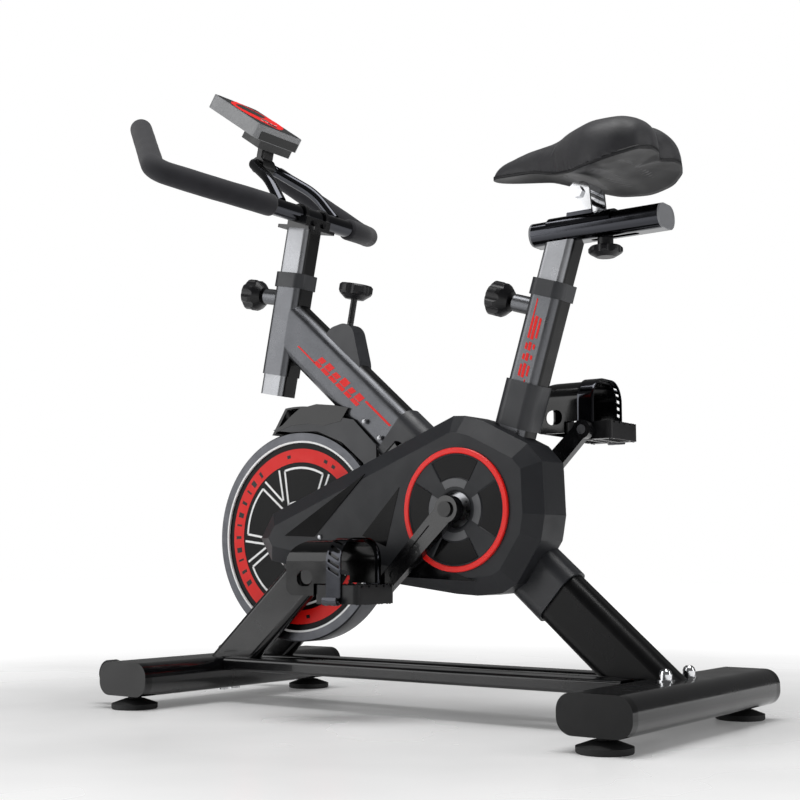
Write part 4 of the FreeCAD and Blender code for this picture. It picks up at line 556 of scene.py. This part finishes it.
def plates(name, outlines, sheet, thick, material, lowest=0.0):
    """Plates with straight walls: each outline is drawn at its lowest height, and again higher by the
    thickness, which is one number or, for a sloping top, one for each point of each outline."""
    points, faces, count = [], [], 0
    for number, outline in enumerate(outlines):
        size = len(outline)
        rise = np.array(thick[number] if np.ndim(thick) else thick)
        points += [sheet.lift(outline, lowest), sheet.lift(outline, lowest + rise)]
        faces.append([count + k for k in range(size)][::-1])
        faces.append([count + size + k for k in range(size)])
        faces += [[count + k, count + (k + 1) % size, count + size + (k + 1) % size, count + size + k]
                  for k in range(size)]
        count += 2 * size
    return outward_normals(new_object(name, np.concatenate(points), faces, material, False))


def own(piece, body):
    """Let a finished piece move with its body."""
    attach(piece, body)
    print("  ", piece.name, "rides on", body)
    return piece


# %% [markdown]
# ## The flywheel's graphics
# The web carries a red vinyl ring with dark marks, and a white line drawing of five pairs of spokes. The
# same film is on both sides, each facing outwards.

# %% Flywheel graphics
WEB_FACE = 18.0
RED_OUTER, RED_INNER = 138.0, 116.5
LINE = 3.4
SPOKE_PAIRS, FIRST_WINDOW = 5, 12.5
WINDOW_ARC, WINDOW_TURN = 106.0, 21.6
HUB_ARC, HUB_TURN = 52.0, 29.0


def band(inner, outer, start, end, count):
    """An arc-shaped outline between two radii: out along the outer arc and back along the inner one."""
    angle = np.linspace(start, end, count)
    return np.concatenate([polar(outer, angle), polar(inner, angle[::-1])])


def stroke(first, last, wide):
    """A straight line with a width: its four corners stand half the width to each side."""
    way = unit(last - first)
    side = np.array([-way[1], way[0]]) * wide / 2
    return np.array([first - side, last - side, last + side, first + side])


def spoke_lines():
    """Each fifth of the wheel has a wide window, outlined by an arc and two lines, and a narrow one
    between the two spokes of a pair, outlined by two lines that meet near the hub."""
    outlines = []
    for number in range(SPOKE_PAIRS):
        middle = FIRST_WINDOW + 360 / SPOKE_PAIRS * number
        outlines += [band(WINDOW_ARC, WINDOW_ARC + LINE, middle - WINDOW_TURN, middle + WINDOW_TURN, 24),
                     band(HUB_ARC, HUB_ARC + LINE, middle - HUB_TURN, middle + HUB_TURN, 18)]
        for side in (-1, 1):
            pair = middle + side * 180 / SPOKE_PAIRS
            outlines += [stroke(polar(WINDOW_ARC + 1.5, middle + side * WINDOW_TURN),
                                polar(HUB_ARC + 1, middle + side * HUB_TURN), LINE),
                         stroke(polar(113.0, pair - side * 8.7), polar(65.0, pair - side * 0.8), LINE)]
    return outlines


def ring_marks():
    """Two rows of eleven dark dashes round the red ring, of three widths in turn, and six small blocks."""
    dashes = [(start + number * 8.6, (2.2, 3.6, 1.4)[number % 3]) for start in (-52, 128)
              for number in range(11)]
    outlines = [band(122.0, 132.5, angle, angle + wide, 4) for angle, wide in dashes]
    return outlines + [band(124.5, 130.0, angle, angle + 3.2, 4) for angle in (55, 63, 98, 235, 243, 278)]


for side, label in SIDES:
    face = Sheet((AXLE[0], AXLE[1] + side * WEB_FACE, AXLE[2]), (side * -1, 0, 0), (0, 0, 1))
    quarters = [band(RED_INNER, RED_OUTER, 90 * k, 90 * k + 90, 30) for k in range(4)]
    rim = [band(WEB_RADIUS - 1.8, WEB_RADIUS + 1.2, 120 * k, 120 * k + 120, 48) for k in range(3)]
    for name, outlines, thick, material, lowest, slot in (
            ("red_ring", quarters, DECAL_THICK, RED_VINYL, 0.0, "red_trim"),
            ("marks", ring_marks(), 0.15, BLACK_VINYL, DECAL_THICK, "black_plastic"),
            ("lines", spoke_lines(), DECAL_THICK, WHITE_VINYL, 0.0, "console_plastic"),
            ("rim_line", rim, 3.2, WHITE_VINYL, 0.0, "flywheel_iron")):
        own(plates("wheel_%s_%s" % (name, label), outlines, face, thick, material, lowest), "flywheel")


# %% [markdown]
# ## Graphics on the tubes
# Both flanks of the backbone and the seat tube carry red vinyl: long thin stripes, and between them a
# block of slanted bars of uneven length.

# %% Tube graphics
BACKBONE_BARS = ((15, 10), (17, 12), (16, 9), (18, 13), (14, 10), (17, 12))
SEAT_BLOCKS = (20, 11, 12, 34)


def slanted(start, length, low, high, lean):
    """A bar along the tube, its ends cut at a slant."""
    end = start + length
    return np.array([(start, low), (end, low), (end + lean, high), (start + lean, high)])


def tube_bars():
    """Stripes at both ends and slanted bars between them; the first number runs down the tube."""
    bars = [slanted(0, 46, -7.4, -4.8, 1.5), slanted(168, 62, 7.6, 11.2, 2.0)]
    start = 45.0
    for length, top in BACKBONE_BARS:
        bars += [slanted(start, length, -7.5, -1.0, 3.0), slanted(start + 3, length - 3, 0.4, top, 5.0)]
        start += length + 3.5
    return bars


def seat_bars():
    """Thin tapering stripes above and below three rows of blocks; the first number runs up the tube."""
    bars, start = [], 0.0
    for length in SEAT_BLOCKS:
        bars += [slanted(start, length, -2.4, 2.4, 1.0), slanted(start + 1, length - 3, 4.0, 7.6, 1.2),
                 slanted(start + 3, length - 5, -8.6, -5.0, 1.0)]
        start += length + 4.0
    bars += [slanted(-22, 20, -6.4, -4.6, 1.0), slanted(start - 6, 26, 5.4, 7.4, 1.5)]
    return bars


BACKBONE_DOWN = np.array([math.cos(BACKBONE_SLOPE), 0, -math.sin(BACKBONE_SLOPE)])
SEAT_UP = np.array([math.sin(SEAT_LEAN), 0, math.cos(SEAT_LEAN)])
HEAD_END = np.array([-231.0, 0.0, 569.0])
SEAT_GRAPHIC = np.array([181.0, 0.0, 480.0])


def square_to(direction, side):
    """The direction in the tube's flank that is square to the tube, so that the pair faces outwards."""
    return np.cross([0.0, float(side), 0.0], direction)


for side, label in SIDES:
    flank = np.array([0.0, side * TUBE_HALF, 0.0])
    backbone = Sheet(HEAD_END + flank, BACKBONE_DOWN, square_to(BACKBONE_DOWN, side))
    outlines = [outline * [1, -side] for outline in tube_bars()]
    own(plates("backbone_graphic_" + label, outlines, backbone, DECAL_THICK, RED_VINYL), "frame")
    tube = Sheet(SEAT_GRAPHIC + flank, SEAT_UP, square_to(SEAT_UP, side))
    own(plates("seat_tube_graphic_" + label, seat_bars(), tube, DECAL_THICK, RED_VINYL), "frame")


# %% [markdown]
# ## Soft curves and outlines
# Moulded shapes have no corners. A few points give the course of a curve, and a running average over
# many points between them rounds every corner alike.

# %% Soft curves
def hann(count):
    """Weights of a running average that fade to nothing at both ends and add up to one."""
    weights = np.hanning(count + 2)[1:-1]
    return weights / weights.sum()


def soft_curve(knots, where, span=41):
    """Values of a curve through the knots, averaged over a tenth of its length, at the places asked for."""
    knots = np.array(knots, float)
    fine = np.linspace(0, 1, 401)
    line = np.pad(np.interp(fine, knots[:, 0], knots[:, 1]), span // 2, mode="edge")
    return np.interp(where, fine, np.convolve(line, hann(span), mode="valid"))


def even_loop(corners, count, span=9):
    """A closed outline through the corners, with evenly spaced points, rounded by a running average."""
    corners = np.array(corners, float)
    loop = np.vstack([corners, corners[:1]])
    run = run_along(loop)
    where = np.linspace(0, run[-1], count, endpoint=False)
    flat = np.stack([np.interp(where, run, loop[:, k]) for k in (0, 1)], axis=1)
    ends = np.concatenate([flat[-(span // 2):], flat, flat[:span // 2]])
    return np.stack([np.convolve(ends[:, k], hann(span), mode="valid") for k in (0, 1)], axis=1)


# %% [markdown]
# ## The saddle
# The saddle is foam under a polyurethane skin that is pulled over a plastic pan. Its plan has a long nose,
# two wings and two rear lobes with a notch between them. A dome rises over this plan: its wall is steep
# at the edge and its top is crowned, with a shallow channel along the middle of the rear. The padded
# body is remeshed into even cells and blown up slightly as cloth, which gives the tight look of foam
# under skin. The pan is hard, so it is left as modelled.

# %% Saddle shape
SADDLE_PLAN = [(0.0, 0.0), (0.004, 0.08), (0.03, 0.155), (0.12, 0.215), (0.3, 0.3), (0.45, 0.47), (0.6, 0.8),
               (0.7, 0.96), (0.78, 1.0), (0.88, 0.95), (0.96, 0.76), (1.0, 0.47), (0.997, 0.26), (0.97, 0.09),
               (0.955, 0.0)]
SADDLE_EDGE = [(0, 0.44), (0.1, 0.4), (0.3, 0.33), (0.48, 0.12), (0.6, 0.02), (0.75, 0.03), (0.88, 0.12),
               (1, 0.3)]
SADDLE_CROWN = [(0, 0.62), (0.08, 0.73), (0.2, 0.8), (0.4, 0.85), (0.52, 0.94), (0.7, 1.0), (0.86, 0.97),
                (1, 0.84)]
SADDLE_FRONT, SADDLE_LONG = 125.0, 277.0
SADDLE_HALF = 98.0
SADDLE_BASE, SADDLE_RISE = 743.5, 80.0
CHANNEL_DEEP, CHANNEL_HALF = 5.0, 15
PAN_REACH, PAN_HOLLOW, PAN_THICK, SKIN_GAP = 0.985, 11.0, 5.0, 2.0


def saddle_side(reach, part):
    """Points of the saddle at a reach from its middle line (0) to its outline (1). The dome is
    (1 - reach to the power 3) to the power 1/3 of the way from the edge up to the crown; the underside
    is a shallow hollow above the edge."""
    side = np.array(SADDLE_PLAN) * [1, -1]
    plan = even_loop(np.vstack([side, (side * [1, -1])[-2:0:-1]]), 300, 11)
    rim = plan * [SADDLE_LONG, SADDLE_HALF] + [SADDLE_FRONT, 0]
    spine = np.clip(rim[:, 0], SADDLE_FRONT + 22, SADDLE_FRONT + 0.83 * SADDLE_LONG)
    reach = np.asarray(reach, float)[:, None]
    x = spine + reach * (rim[:, 0] - spine)
    y = reach * rim[:, 1]
    share = (x - SADDLE_FRONT) / SADDLE_LONG
    edge = SADDLE_BASE + SADDLE_RISE * soft_curve(SADDLE_EDGE, share)
    if part == "dome":
        crown = SADDLE_BASE + SADDLE_RISE * soft_curve(SADDLE_CROWN, share)
        channel = CHANNEL_DEEP * np.exp(-(y / CHANNEL_HALF) ** 2) * np.clip((share - 0.45) / 0.4, 0, 1)
        return np.stack([x, y, edge + (crown - edge - channel) * (1 - reach ** 3) ** (1 / 3)], axis=-1)
    hollow = PAN_HOLLOW * (1 - reach ** 2) * np.clip(share / 0.4, 0, 1)
    return np.stack([x, y, edge + hollow], axis=-1)


def saddle_body():
    """The foam and its skin: the dome from the middle out, then the underside back in, a little above
    the pan's face."""
    out = np.sin(np.linspace(0, np.pi / 2, 26))
    back = np.linspace(1, 0, 12)[1:]
    return np.concatenate([saddle_side(out, "dome"), saddle_side(back, "under") + [0, 0, SKIN_GAP]])


def saddle_pan_shape():
    """A thin hard dish just inside the skin's edge."""
    out = np.linspace(0, PAN_REACH, 14)
    return np.concatenate([saddle_side(out, "under"), saddle_side(out[::-1], "under") + [0, 0, PAN_THICK]])


# %% Cloth that is blown up
PRESSURE, FRAMES = 4.0, 20


def puffed(shape, name, material, voxel_mm, cap_mm):
    """Even cells, then some frames of cloth under pressure; no point moves further than the cap."""
    scene = bpy.context.scene
    cells = shape.modifiers.new("cells", "REMESH")
    cells.mode, cells.voxel_size = "VOXEL", voxel_mm * MM
    ready = shape.evaluated_get(bpy.context.evaluated_depsgraph_get())
    piece = show(name, bpy.data.meshes.new_from_object(ready))
    bpy.data.objects.remove(shape)
    count = len(piece.data.vertices)
    rest, blown = np.empty(count * 3), np.empty(count * 3)
    piece.data.vertices.foreach_get("co", rest)
    cloth = piece.modifiers.new("cloth", "CLOTH")
    cloth.settings.use_pressure = True
    cloth.settings.uniform_pressure_force = PRESSURE
    cloth.settings.effector_weights.gravity = 0.0
    for frame_number in range(1, FRAMES + 1):
        scene.frame_set(frame_number)
    piece.evaluated_get(bpy.context.evaluated_depsgraph_get()).data.vertices.foreach_get("co", blown)
    move = (blown - rest).reshape(-1, 3)
    length = np.maximum(np.linalg.norm(move, axis=1, keepdims=True), 1e-9)
    print(name, "swelled by", (length.max() / MM).round(1), "mm before the cap")
    move *= np.minimum(length, cap_mm * MM) / length
    piece.modifiers.remove(cloth)
    scene.frame_set(1)
    piece.data.vertices.foreach_set("co", rest + move.ravel())
    piece.data.materials.clear()
    piece.data.materials.append(material)
    piece.data.polygons.foreach_set("use_smooth", np.full(len(piece.data.polygons), True))
    piece.data.update()
    finer = piece.modifiers.new("finer", "SUBSURF")
    finer.levels = finer.render_levels = 1
    return piece


SADDLE = puffed(loft("saddle_form", saddle_body(), SADDLE_SKIN), "saddle_padding", SADDLE_SKIN, 3.0, 2.0)
own(SADDLE, "saddle")
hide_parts("saddle")
own(loft("saddle_pan", saddle_pan_shape(), PAN_PLASTIC), "saddle")


# %% [markdown]
# ## The foam grips
# Each grip is a foam sleeve slid over the bent tube, so it is a circle carried along the tube's path. Its
# cut ends are slightly rounded, and the outer end is closed.

# %% Foam grips
BAR = np.array([-231.0, 0.0, 779.0])
GRIP_RADIUS, GRIP_START, GRIP_ROUND, GRIP_TAPER = 17.8, 95.0, 5.0, 3.4


def grip_path(side):
    """The crossbar, the elbow and the horn, with the bend radii of the tube; the foam ends four past the
    tube's end."""
    corners = [BAR + [0, side * GRIP_START, 0], BAR + [0, side * 132, 0], BAR + [-34, side * 200, 12],
               BAR + [-90, side * 262, 34], BAR + [-222, side * 168, 147]]
    corners[4] = corners[4] + unit(corners[4] - corners[3]) * 4
    return bent(corners, (110, 110, 30), 2.0)


def grip_rings(side):
    """Circles whose radius falls away near both ends as a quarter circle, and swells a little with two
    slow sine waves between them."""
    path = grip_path(side)
    run = run_along(path)
    near_end = np.clip(np.minimum(run, run[-1] - run) / GRIP_ROUND, 0, 1)
    radius = GRIP_RADIUS - GRIP_TAPER * (1 - np.sqrt(1 - (1 - near_end) ** 2))
    soft = 1 + 0.006 * np.sin(run / 17) + 0.004 * np.sin(run / 7.3)
    return carried(path, circle(1, 40)[None] * (radius * soft)[:, None, None])


for side, label in SIDES:
    sleeve = own(loft("foam_grip_" + label, grip_rings(side), FOAM), "bar_post")
    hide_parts("hand_grips")


# %% [markdown]
# ## The belt cover's facets and trim disc
# The cover's flat face carries two long triangular facets and a low one, with sloping tops that barely
# shine; their near-black plastic is painted shade that makes them darker than the cover. The trim disc has
# four windows of smoked acrylic with a pale arc inside each, painted light, and plain fan shapes between
# them.

# %% Cover facets
COVER_SHEET = Sheet((0, COVER_FACE, 0), (1, 0, 0), (0, 0, 1))
FACETS = [[(-218, 260.5), (-159.7, 258.1), (-62.6, 350.2)], [(-66.7, 259.1), (-24.3, 242.9), (-0.2, 328.6)]]
FACET_WALLS = [(2.7, 0.8, 2.7), (2.5, 0.8, 1.1)]
LOWER_FACET, LOWER_WALLS = [[(8, 199), (133, 194), (43, 222)]], [(1.0, 0.8, 2.3)]
# The facets get the near-black smoked plastic as painted shade.
for name, corners, walls in (("cover_facets", FACETS, FACET_WALLS),
                             ("cover_lower_facet", LOWER_FACET, LOWER_WALLS)):
    own(plates(name, corners, COVER_SHEET, walls, PANE_AND_FACET_SHADE_PLASTIC, -0.5), "frame")

# %% Trim disc
DISC_SHEET = Sheet((CRANK[0], COVER_FACE, CRANK[2]), (1, 0, 0), (0, 0, 1))
DISC_OUTER, DISC_HOLE, DISC_OUT = 79.3, 26.2, 2.5
WINDOW_INNER, WINDOW_OUTER, WINDOW_HALF, WINDOW_DEEP = 46.0, 76.5, 30.0, 1.7
WALL_WIDE, AROUND = 1.2, 480


def step_up(value, start, width):
    """0 below the start, 1 beyond start + width, and a smooth S between them."""
    share = np.clip((value - start) / width, 0, 1)
    return share * share * (3 - 2 * share)


def disc_rings():
    """A flat ring with four sunk windows: the depth is the product of three smooth steps, two across
    the radius and one across the angle."""
    radius = np.linspace(DISC_OUTER, DISC_HOLE, 60)[:, None]
    degrees = np.linspace(0, 360, AROUND, endpoint=False)[None, :]
    off_middle = np.abs((degrees + 45) % 90 - 45)
    sunk = (step_up(radius, WINDOW_INNER - WALL_WIDE, WALL_WIDE)
            * (1 - step_up(radius, WINDOW_OUTER, WALL_WIDE))
            * (1 - step_up((off_middle - WINDOW_HALF) * radius * math.pi / 180, 0.0, WALL_WIDE)))
    height = DISC_OUT - WINDOW_DEEP * sunk - 0.8 * (1 - step_up(radius, DISC_HOLE, 3.0))
    flat = polar(radius, degrees)
    height = np.pad(height, ((1, 1), (0, 0)))
    flat = np.concatenate([flat[:1], flat, flat[-1:]])
    return DISC_SHEET.lift(flat, height)


disc = own(ring_loop("trim_disc", disc_rings(), COVER_PLASTIC), "frame")
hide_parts("cover_disc")
panes = [band(WINDOW_INNER + 0.2, WINDOW_OUTER - 0.2, 90 * k - 29.4, 90 * k + 29.4, 30) for k in range(4)]
own(plates("disc_panes", panes, DISC_SHEET, 0.5, PANE_AND_FACET_SHADE_PLASTIC, 0.7), "frame")
# Painted light: the pale grey arcs stand for sloping sectors that catch the light, drawn as flat plates.
arcs = [band(32.5, 44.0, 90 * k - 29, 90 * k + 29, 24) for k in range(4)]
own(plates("disc_arcs", arcs, DISC_SHEET, 0.5, ARC_PAINTED_LIGHT_PLASTIC, 2.4), "frame")


# %% [markdown]
# ## The console's face
# The display case is grey with a bright rim. A black panel covers its face, with a long red eye-shaped
# print, a dark window in the front half and a small grey display in the rear half. A few plain bars take
# the place of lettering.

# %% Console face
CONSOLE_SHEET = Sheet(CONSOLE_CENTRE + 12 * CONSOLE_OUT, CONSOLE_DOWN, (0, 1, 0))


def rounded_box(low, high, radius, count=8):
    """A rectangle with a quarter circle at each corner."""
    low, high = np.array(low, float), np.array(high, float)
    corners = [(high[0] - radius, high[1] - radius), (low[0] + radius, high[1] - radius),
               (low[0] + radius, low[1] + radius), (high[0] - radius, low[1] + radius)]
    quarter = np.linspace(0, 90, count)
    return np.concatenate([corner + polar(radius, quarter + 90 * number)
                           for number, corner in enumerate(corners)])


def eye(front, rear, half, power):
    """A long pointed shape: its half width is 1 minus the distance from the middle to a power."""
    along = np.linspace(-1, 1, 41)
    wide = half * (1 - np.abs(along) ** power)
    x = (front + rear) / 2 + along * (rear - front) / 2
    return np.concatenate([np.stack([x, -wide], axis=1), np.stack([x, wide], axis=1)[-2:0:-1]])


REAR_FACE = Sheet(CONSOLE_CENTRE + 67.4 * CONSOLE_DOWN, (0, 1, 0), CONSOLE_OUT)
CONSOLE_PRINTS = (
    ("rim", [rounded_box((-66.5, -52.5), (66.5, 52.5), 9)], CONSOLE_SHEET, 0.8, GREY_PLASTIC, -0.3),
    ("panel", [rounded_box((-63.5, -49.5), (63.5, 49.5), 8)], CONSOLE_SHEET, 0.5, PANE_AND_FACET_SHADE_PLASTIC, 0.5),
    ("red_eye", [eye(-64, 56, 50, 2.2)], CONSOLE_SHEET, 0.25, RED_VINYL, 1.0),
    ("window", [eye(-50, 4, 33, 2.0)], CONSOLE_SHEET, 0.2, PANE_AND_FACET_SHADE_PLASTIC, 1.25),
    ("display", [rounded_box((10, -9), (24, 9), 1.5)], CONSOLE_SHEET, 0.3, DISPLAY, 1.25),
    ("rear_band", [rounded_box((-46, -11.5), (46, 3.0), 2)], REAR_FACE, 0.6, GLOSS_PLASTIC, 0.0),
    ("bars", [rounded_box((27, low), (28.6, low + 7), 0.5, 3) for low in (-20, -9, 2, 13)], CONSOLE_SHEET,
     0.15, WHITE_VINYL, 1.25),
)
for name, *drawing in CONSOLE_PRINTS:
    own(plates("console_" + name, *drawing), "console")


# %% [markdown]
# ## The flywheel guard's cheeks
# These cheeks close the gap between the guard's roof and the grey side plates. Each is a thin plate just
# outside the roof.

# %% Guard cheeks
CHEEK = [(-276, 427), (-243, 452), (-226, 462), (-192, 467), (-157, 463), (-128, 457), (-143, 437),
         (-177, 432), (-206, 437), (-242, 436)]
GUARD_SIDE = top_corner_of("flywheel_guard")[1] + 0.1
for side, label in SIDES:
    face = Sheet((0, side * GUARD_SIDE, 0), (-side, 0, 0), (0, 0, 1))
    outline = np.array(CHEEK) * [-side, 1]
    own(plates("guard_cheek_" + label, [outline], face, 3.4, GLOSS_PLASTIC), "frame")


# %% [markdown]
# ## Toe straps
# The strap is a moulded band as glossy as the handlebar. It runs over the toe cage and comes down outside,
# where slanted slots let it hook at any length, and its tail curls outwards. The band is a strip of cells
# that leans like the slots, so that whole cells can be left out.

# %% Toe straps
STRAP_THICK, STRAP_LEAN, STRAP_SIDE, STRAP_TOP = 2.0, 0.5, 45.4, 78.0
STRAP_ACROSS = np.array([-13, -9.5, -5, 0, 5, 9.5, 13.0])
SLOT_FROM, SLOT_PITCH, SLOT_LONG = 0.56, 10.5, 4.6


def strap_path(way):
    """Up the inner side, over the top and down the outer side, then a curl: across and up, in
    millimetres from the middle of the pedal."""
    side = STRAP_SIDE
    corners = [(-side, 0, 9), (-side, 0, STRAP_TOP), (side, 0, STRAP_TOP), (side, 0, -12),
               (side + 11, 0, -17), (side + 9, 0, -4)]
    flat = bent(corners, (31, 31, 6, 4), 2.0)[:, [0, 2]]
    return flat * [way, 1]


def strap_cells(length):
    """Edges of the cells along the band, with evenly spaced slots over the outer side."""
    first = length * SLOT_FROM
    slots = [(start, start + SLOT_LONG) for start in np.arange(first, first + 44, SLOT_PITCH)]
    lines = sorted(set(np.round(np.concatenate([np.arange(0, length, 3.0), [length], np.ravel(slots)]), 2)))
    return np.array(lines), slots


def strap(label, way):
    """The band of one pedal, with its slots, its thickness and its rounded edges."""
    centre = middle_of("pedal_" + label)
    flat = strap_path(way)
    run = run_along(flat)
    lines, slots = strap_cells(run[-1])
    across = STRAP_ACROSS
    slant = STRAP_LEAN * across[None, :] * np.clip(np.minimum(lines, run[-1] - lines) / 20, 0, 1)[:, None]
    along = np.clip(lines[:, None] + slant, 0, run[-1])
    points = np.stack([np.broadcast_to(across - 2, along.shape), np.interp(along, run, flat[:, 0]),
                       np.interp(along, run, flat[:, 1])], axis=-1) + centre
    keep = []
    for number, quad in enumerate(grid_faces(len(lines), len(across), False)):
        row, column = divmod(number, len(across) - 1)
        middle = (lines[row] + lines[row + 1]) / 2
        if 1 <= column <= 4 and any(first < middle < last for first, last in slots):
            continue
        keep.append(quad)
    band_piece = new_object("strap_band_" + label, points, keep, BLACK_CHROME)
    wall = band_piece.modifiers.new("wall", "SOLIDIFY")
    wall.thickness, wall.offset = STRAP_THICK * MM, 0.0
    edge = band_piece.modifiers.new("edge", "BEVEL")
    edge.width, edge.segments, edge.limit_method = 0.5 * MM, 2, "ANGLE"
    own(band_piece, "pedal_" + label)
    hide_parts("toe_strap_" + label)


for way, label in SIDES:
    strap(label, way)


# %% [markdown]
# ## Pedal treads and reflectors
# A plastic pedal grips the shoe with rows of small studs, and its front face carries a red reflector.

# %% Treads and reflectors
STUD_ROWS, STUD_REACH, STUD_RADIUS = (-33.0, -2.6, 2.6, 33.0), 38, 1.5
PEDAL_HALF_TALL, PEDAL_FRONT = 13.0, 38.0


def studs(label):
    """Rows of small six-sided pins on the pedal's top and bottom faces, with gaps over its openings."""
    centre = middle_of("pedal_" + label)
    outlines = [circle(STUD_RADIUS, 6) + [x, y] for x in STUD_ROWS
                for y in np.linspace(-STUD_REACH, STUD_REACH, 13) if abs(y / 16.7 % 1 - 0.5) > 0.12]
    for way, face in ((1, "top"), (-1, "bottom")):
        sheet = Sheet(centre + [0, 0, way * PEDAL_HALF_TALL], (1, 0, 0), (0, way, 0))
        own(plates("pedal_studs_%s_%s" % (face, label), outlines, sheet, 1.6, SATIN_PLASTIC, -0.6),
            "pedal_" + label)


def reflector(label):
    """A red lens on the front face of the pedal."""
    sheet = Sheet(middle_of("pedal_" + label) + [-PEDAL_FRONT, 0, 0], (0, -1, 0), (0, 0, 1))
    lens = [rounded_box((-20, -5.5), (20, 5.5), 1.5, 4)]
    own(plates("reflector_" + label, lens, sheet, 1.4, RED_PLASTIC, -0.4), "pedal_" + label)


for _, label in SIDES:
    studs(label)
    reflector(label)


# %% [markdown]
# ## The brake's thread
# The brake is set by turning a threaded rod, so the rod shows a fine screw thread.

# %% Brake thread
BRAKE_LEAN = math.radians(11.0)
ROD_FOOT = np.array([-146.0, 0.0, 593.0])
THREAD_RADIUS, THREAD_PITCH, THREAD_RIDGE = 5.05, 1.75, 0.35


def thread(name, start, end, material):
    """A ridge that winds round a rod: radius plus a small cosine of the height less one turn per pitch."""
    length = np.linalg.norm(end - start)
    steps = int(length / THREAD_PITCH * 8)
    run = np.linspace(0, 1, steps)[:, None, None]
    angle = np.linspace(0, 2 * np.pi, 24, endpoint=False)[None, :, None]
    way = unit(end - start)
    side = unit(np.cross(way, (0, 1, 0)))
    other = np.cross(way, side)
    ridge = THREAD_RADIUS + THREAD_RIDGE * np.cos(2 * np.pi * run * length / THREAD_PITCH - angle)
    rings = start + run * (end - start) + ridge * (np.cos(angle) * side + np.sin(angle) * other)
    return loft(name, rings, material)


lean = np.array([math.sin(BRAKE_LEAN), 0, math.cos(BRAKE_LEAN)])
own(thread("brake_thread", ROD_FOOT + lean * 2, ROD_FOOT + lean * 38, BLACK_ENAMEL), "brake_rod")


# %% [markdown]
# ## Floor, lights and camera
# A pale floor and big soft boxes, as in a product studio. The camera looks from the rear left, low down,
# through a long lens.

# %% Floor and lights
FLOOR_HALF, ROOM_GREY = 9000.0, 0.14


def make_floor():
    """A big pale sheet under the feet, slightly glossy. Away from the bike it glows more and more, so
    that it meets the white background without a line."""
    corners = np.array([(-1, -1, 0), (1, -1, 0), (1, 1, 0), (-1, 1, 0)]) * FLOOR_HALF
    material, tree, shader, place = new_finish("studio_floor", "#f4f4f4", 0.25)
    shader.inputs["Emission Color"].default_value = (1, 1, 1, 1)
    away = add(tree, "ShaderNodeVectorMath", {0: place}, operation="LENGTH")
    vary(tree, shader, away.outputs["Value"], "Emission Strength", 0.1, 0.9)
    glow = shader.inputs["Emission Strength"].links[0].from_node
    glow.inputs["From Min"].default_value, glow.inputs["From Max"].default_value = 0.5, 2.2
    vary(tree, shader, noise(tree, place, 400.0, 3.0), "Roughness", 0.2, 0.3)
    floor = new_object("studio_floor", corners, [[0, 1, 2, 3]], material, False)


def soft_box(name, place, aim, wide, tall, watts):
    """A rectangular lamp that faces a point."""
    lamp = bpy.data.lights.new(name, "AREA")
    lamp.shape = "RECTANGLE"
    lamp.size, lamp.size_y, lamp.energy = wide, tall, watts
    holder = show(name, lamp)
    holder.location = place
    holder.rotation_euler = (Vector(aim) - Vector(place)).to_track_quat("-Z", "Y").to_euler()


def studio_world():
    """White where the camera looks past the bike, and a dim room elsewhere, so gloss black stays black."""
    world = bpy.data.worlds.new("studio")
    world.use_nodes = True
    tree = world.node_tree
    ray = add(tree, "ShaderNodeLightPath")
    strength = add(tree, "ShaderNodeMapRange", {"Value": ray.outputs["Is Camera Ray"], "To Min": ROOM_GREY,
                                                "To Max": 1.0})
    tree.links.new(strength.outputs["Result"], tree.nodes["Background"].inputs["Strength"])
    tree.nodes["Background"].inputs["Color"].default_value = (1, 1, 1, 1)
    bpy.context.scene.world = world


make_floor()
studio_world()
soft_box("near_side_box", (-2.4, -2.6, 1.3), (0, 0, 0.5), 2.4, 2.2, 42)
soft_box("top_box", (0.2, -0.3, 3.0), (0, 0, 0.4), 2.6, 1.4, 75)
soft_box("rear_strip", (2.6, 0.9, 1.3), (0, 0, 0.5), 0.3, 2.0, 16)
bpy.context.scene.view_settings.view_transform = "Standard"
print("floor, world and three lamps are in place")


# %% Camera
CAMERA_PLACE = (1.1467, -1.6371, 0.2269)
CAMERA_TURN, CAMERA_PITCH = math.radians(36.136), math.radians(6.729)
camera = show("camera", bpy.data.cameras.new("camera"))
camera.data.lens = 60.11
camera.location = CAMERA_PLACE
camera.rotation_euler = (math.pi / 2 + CAMERA_PITCH, 0, CAMERA_TURN)
bpy.context.scene.camera = camera
print("camera lens", camera.data.lens)
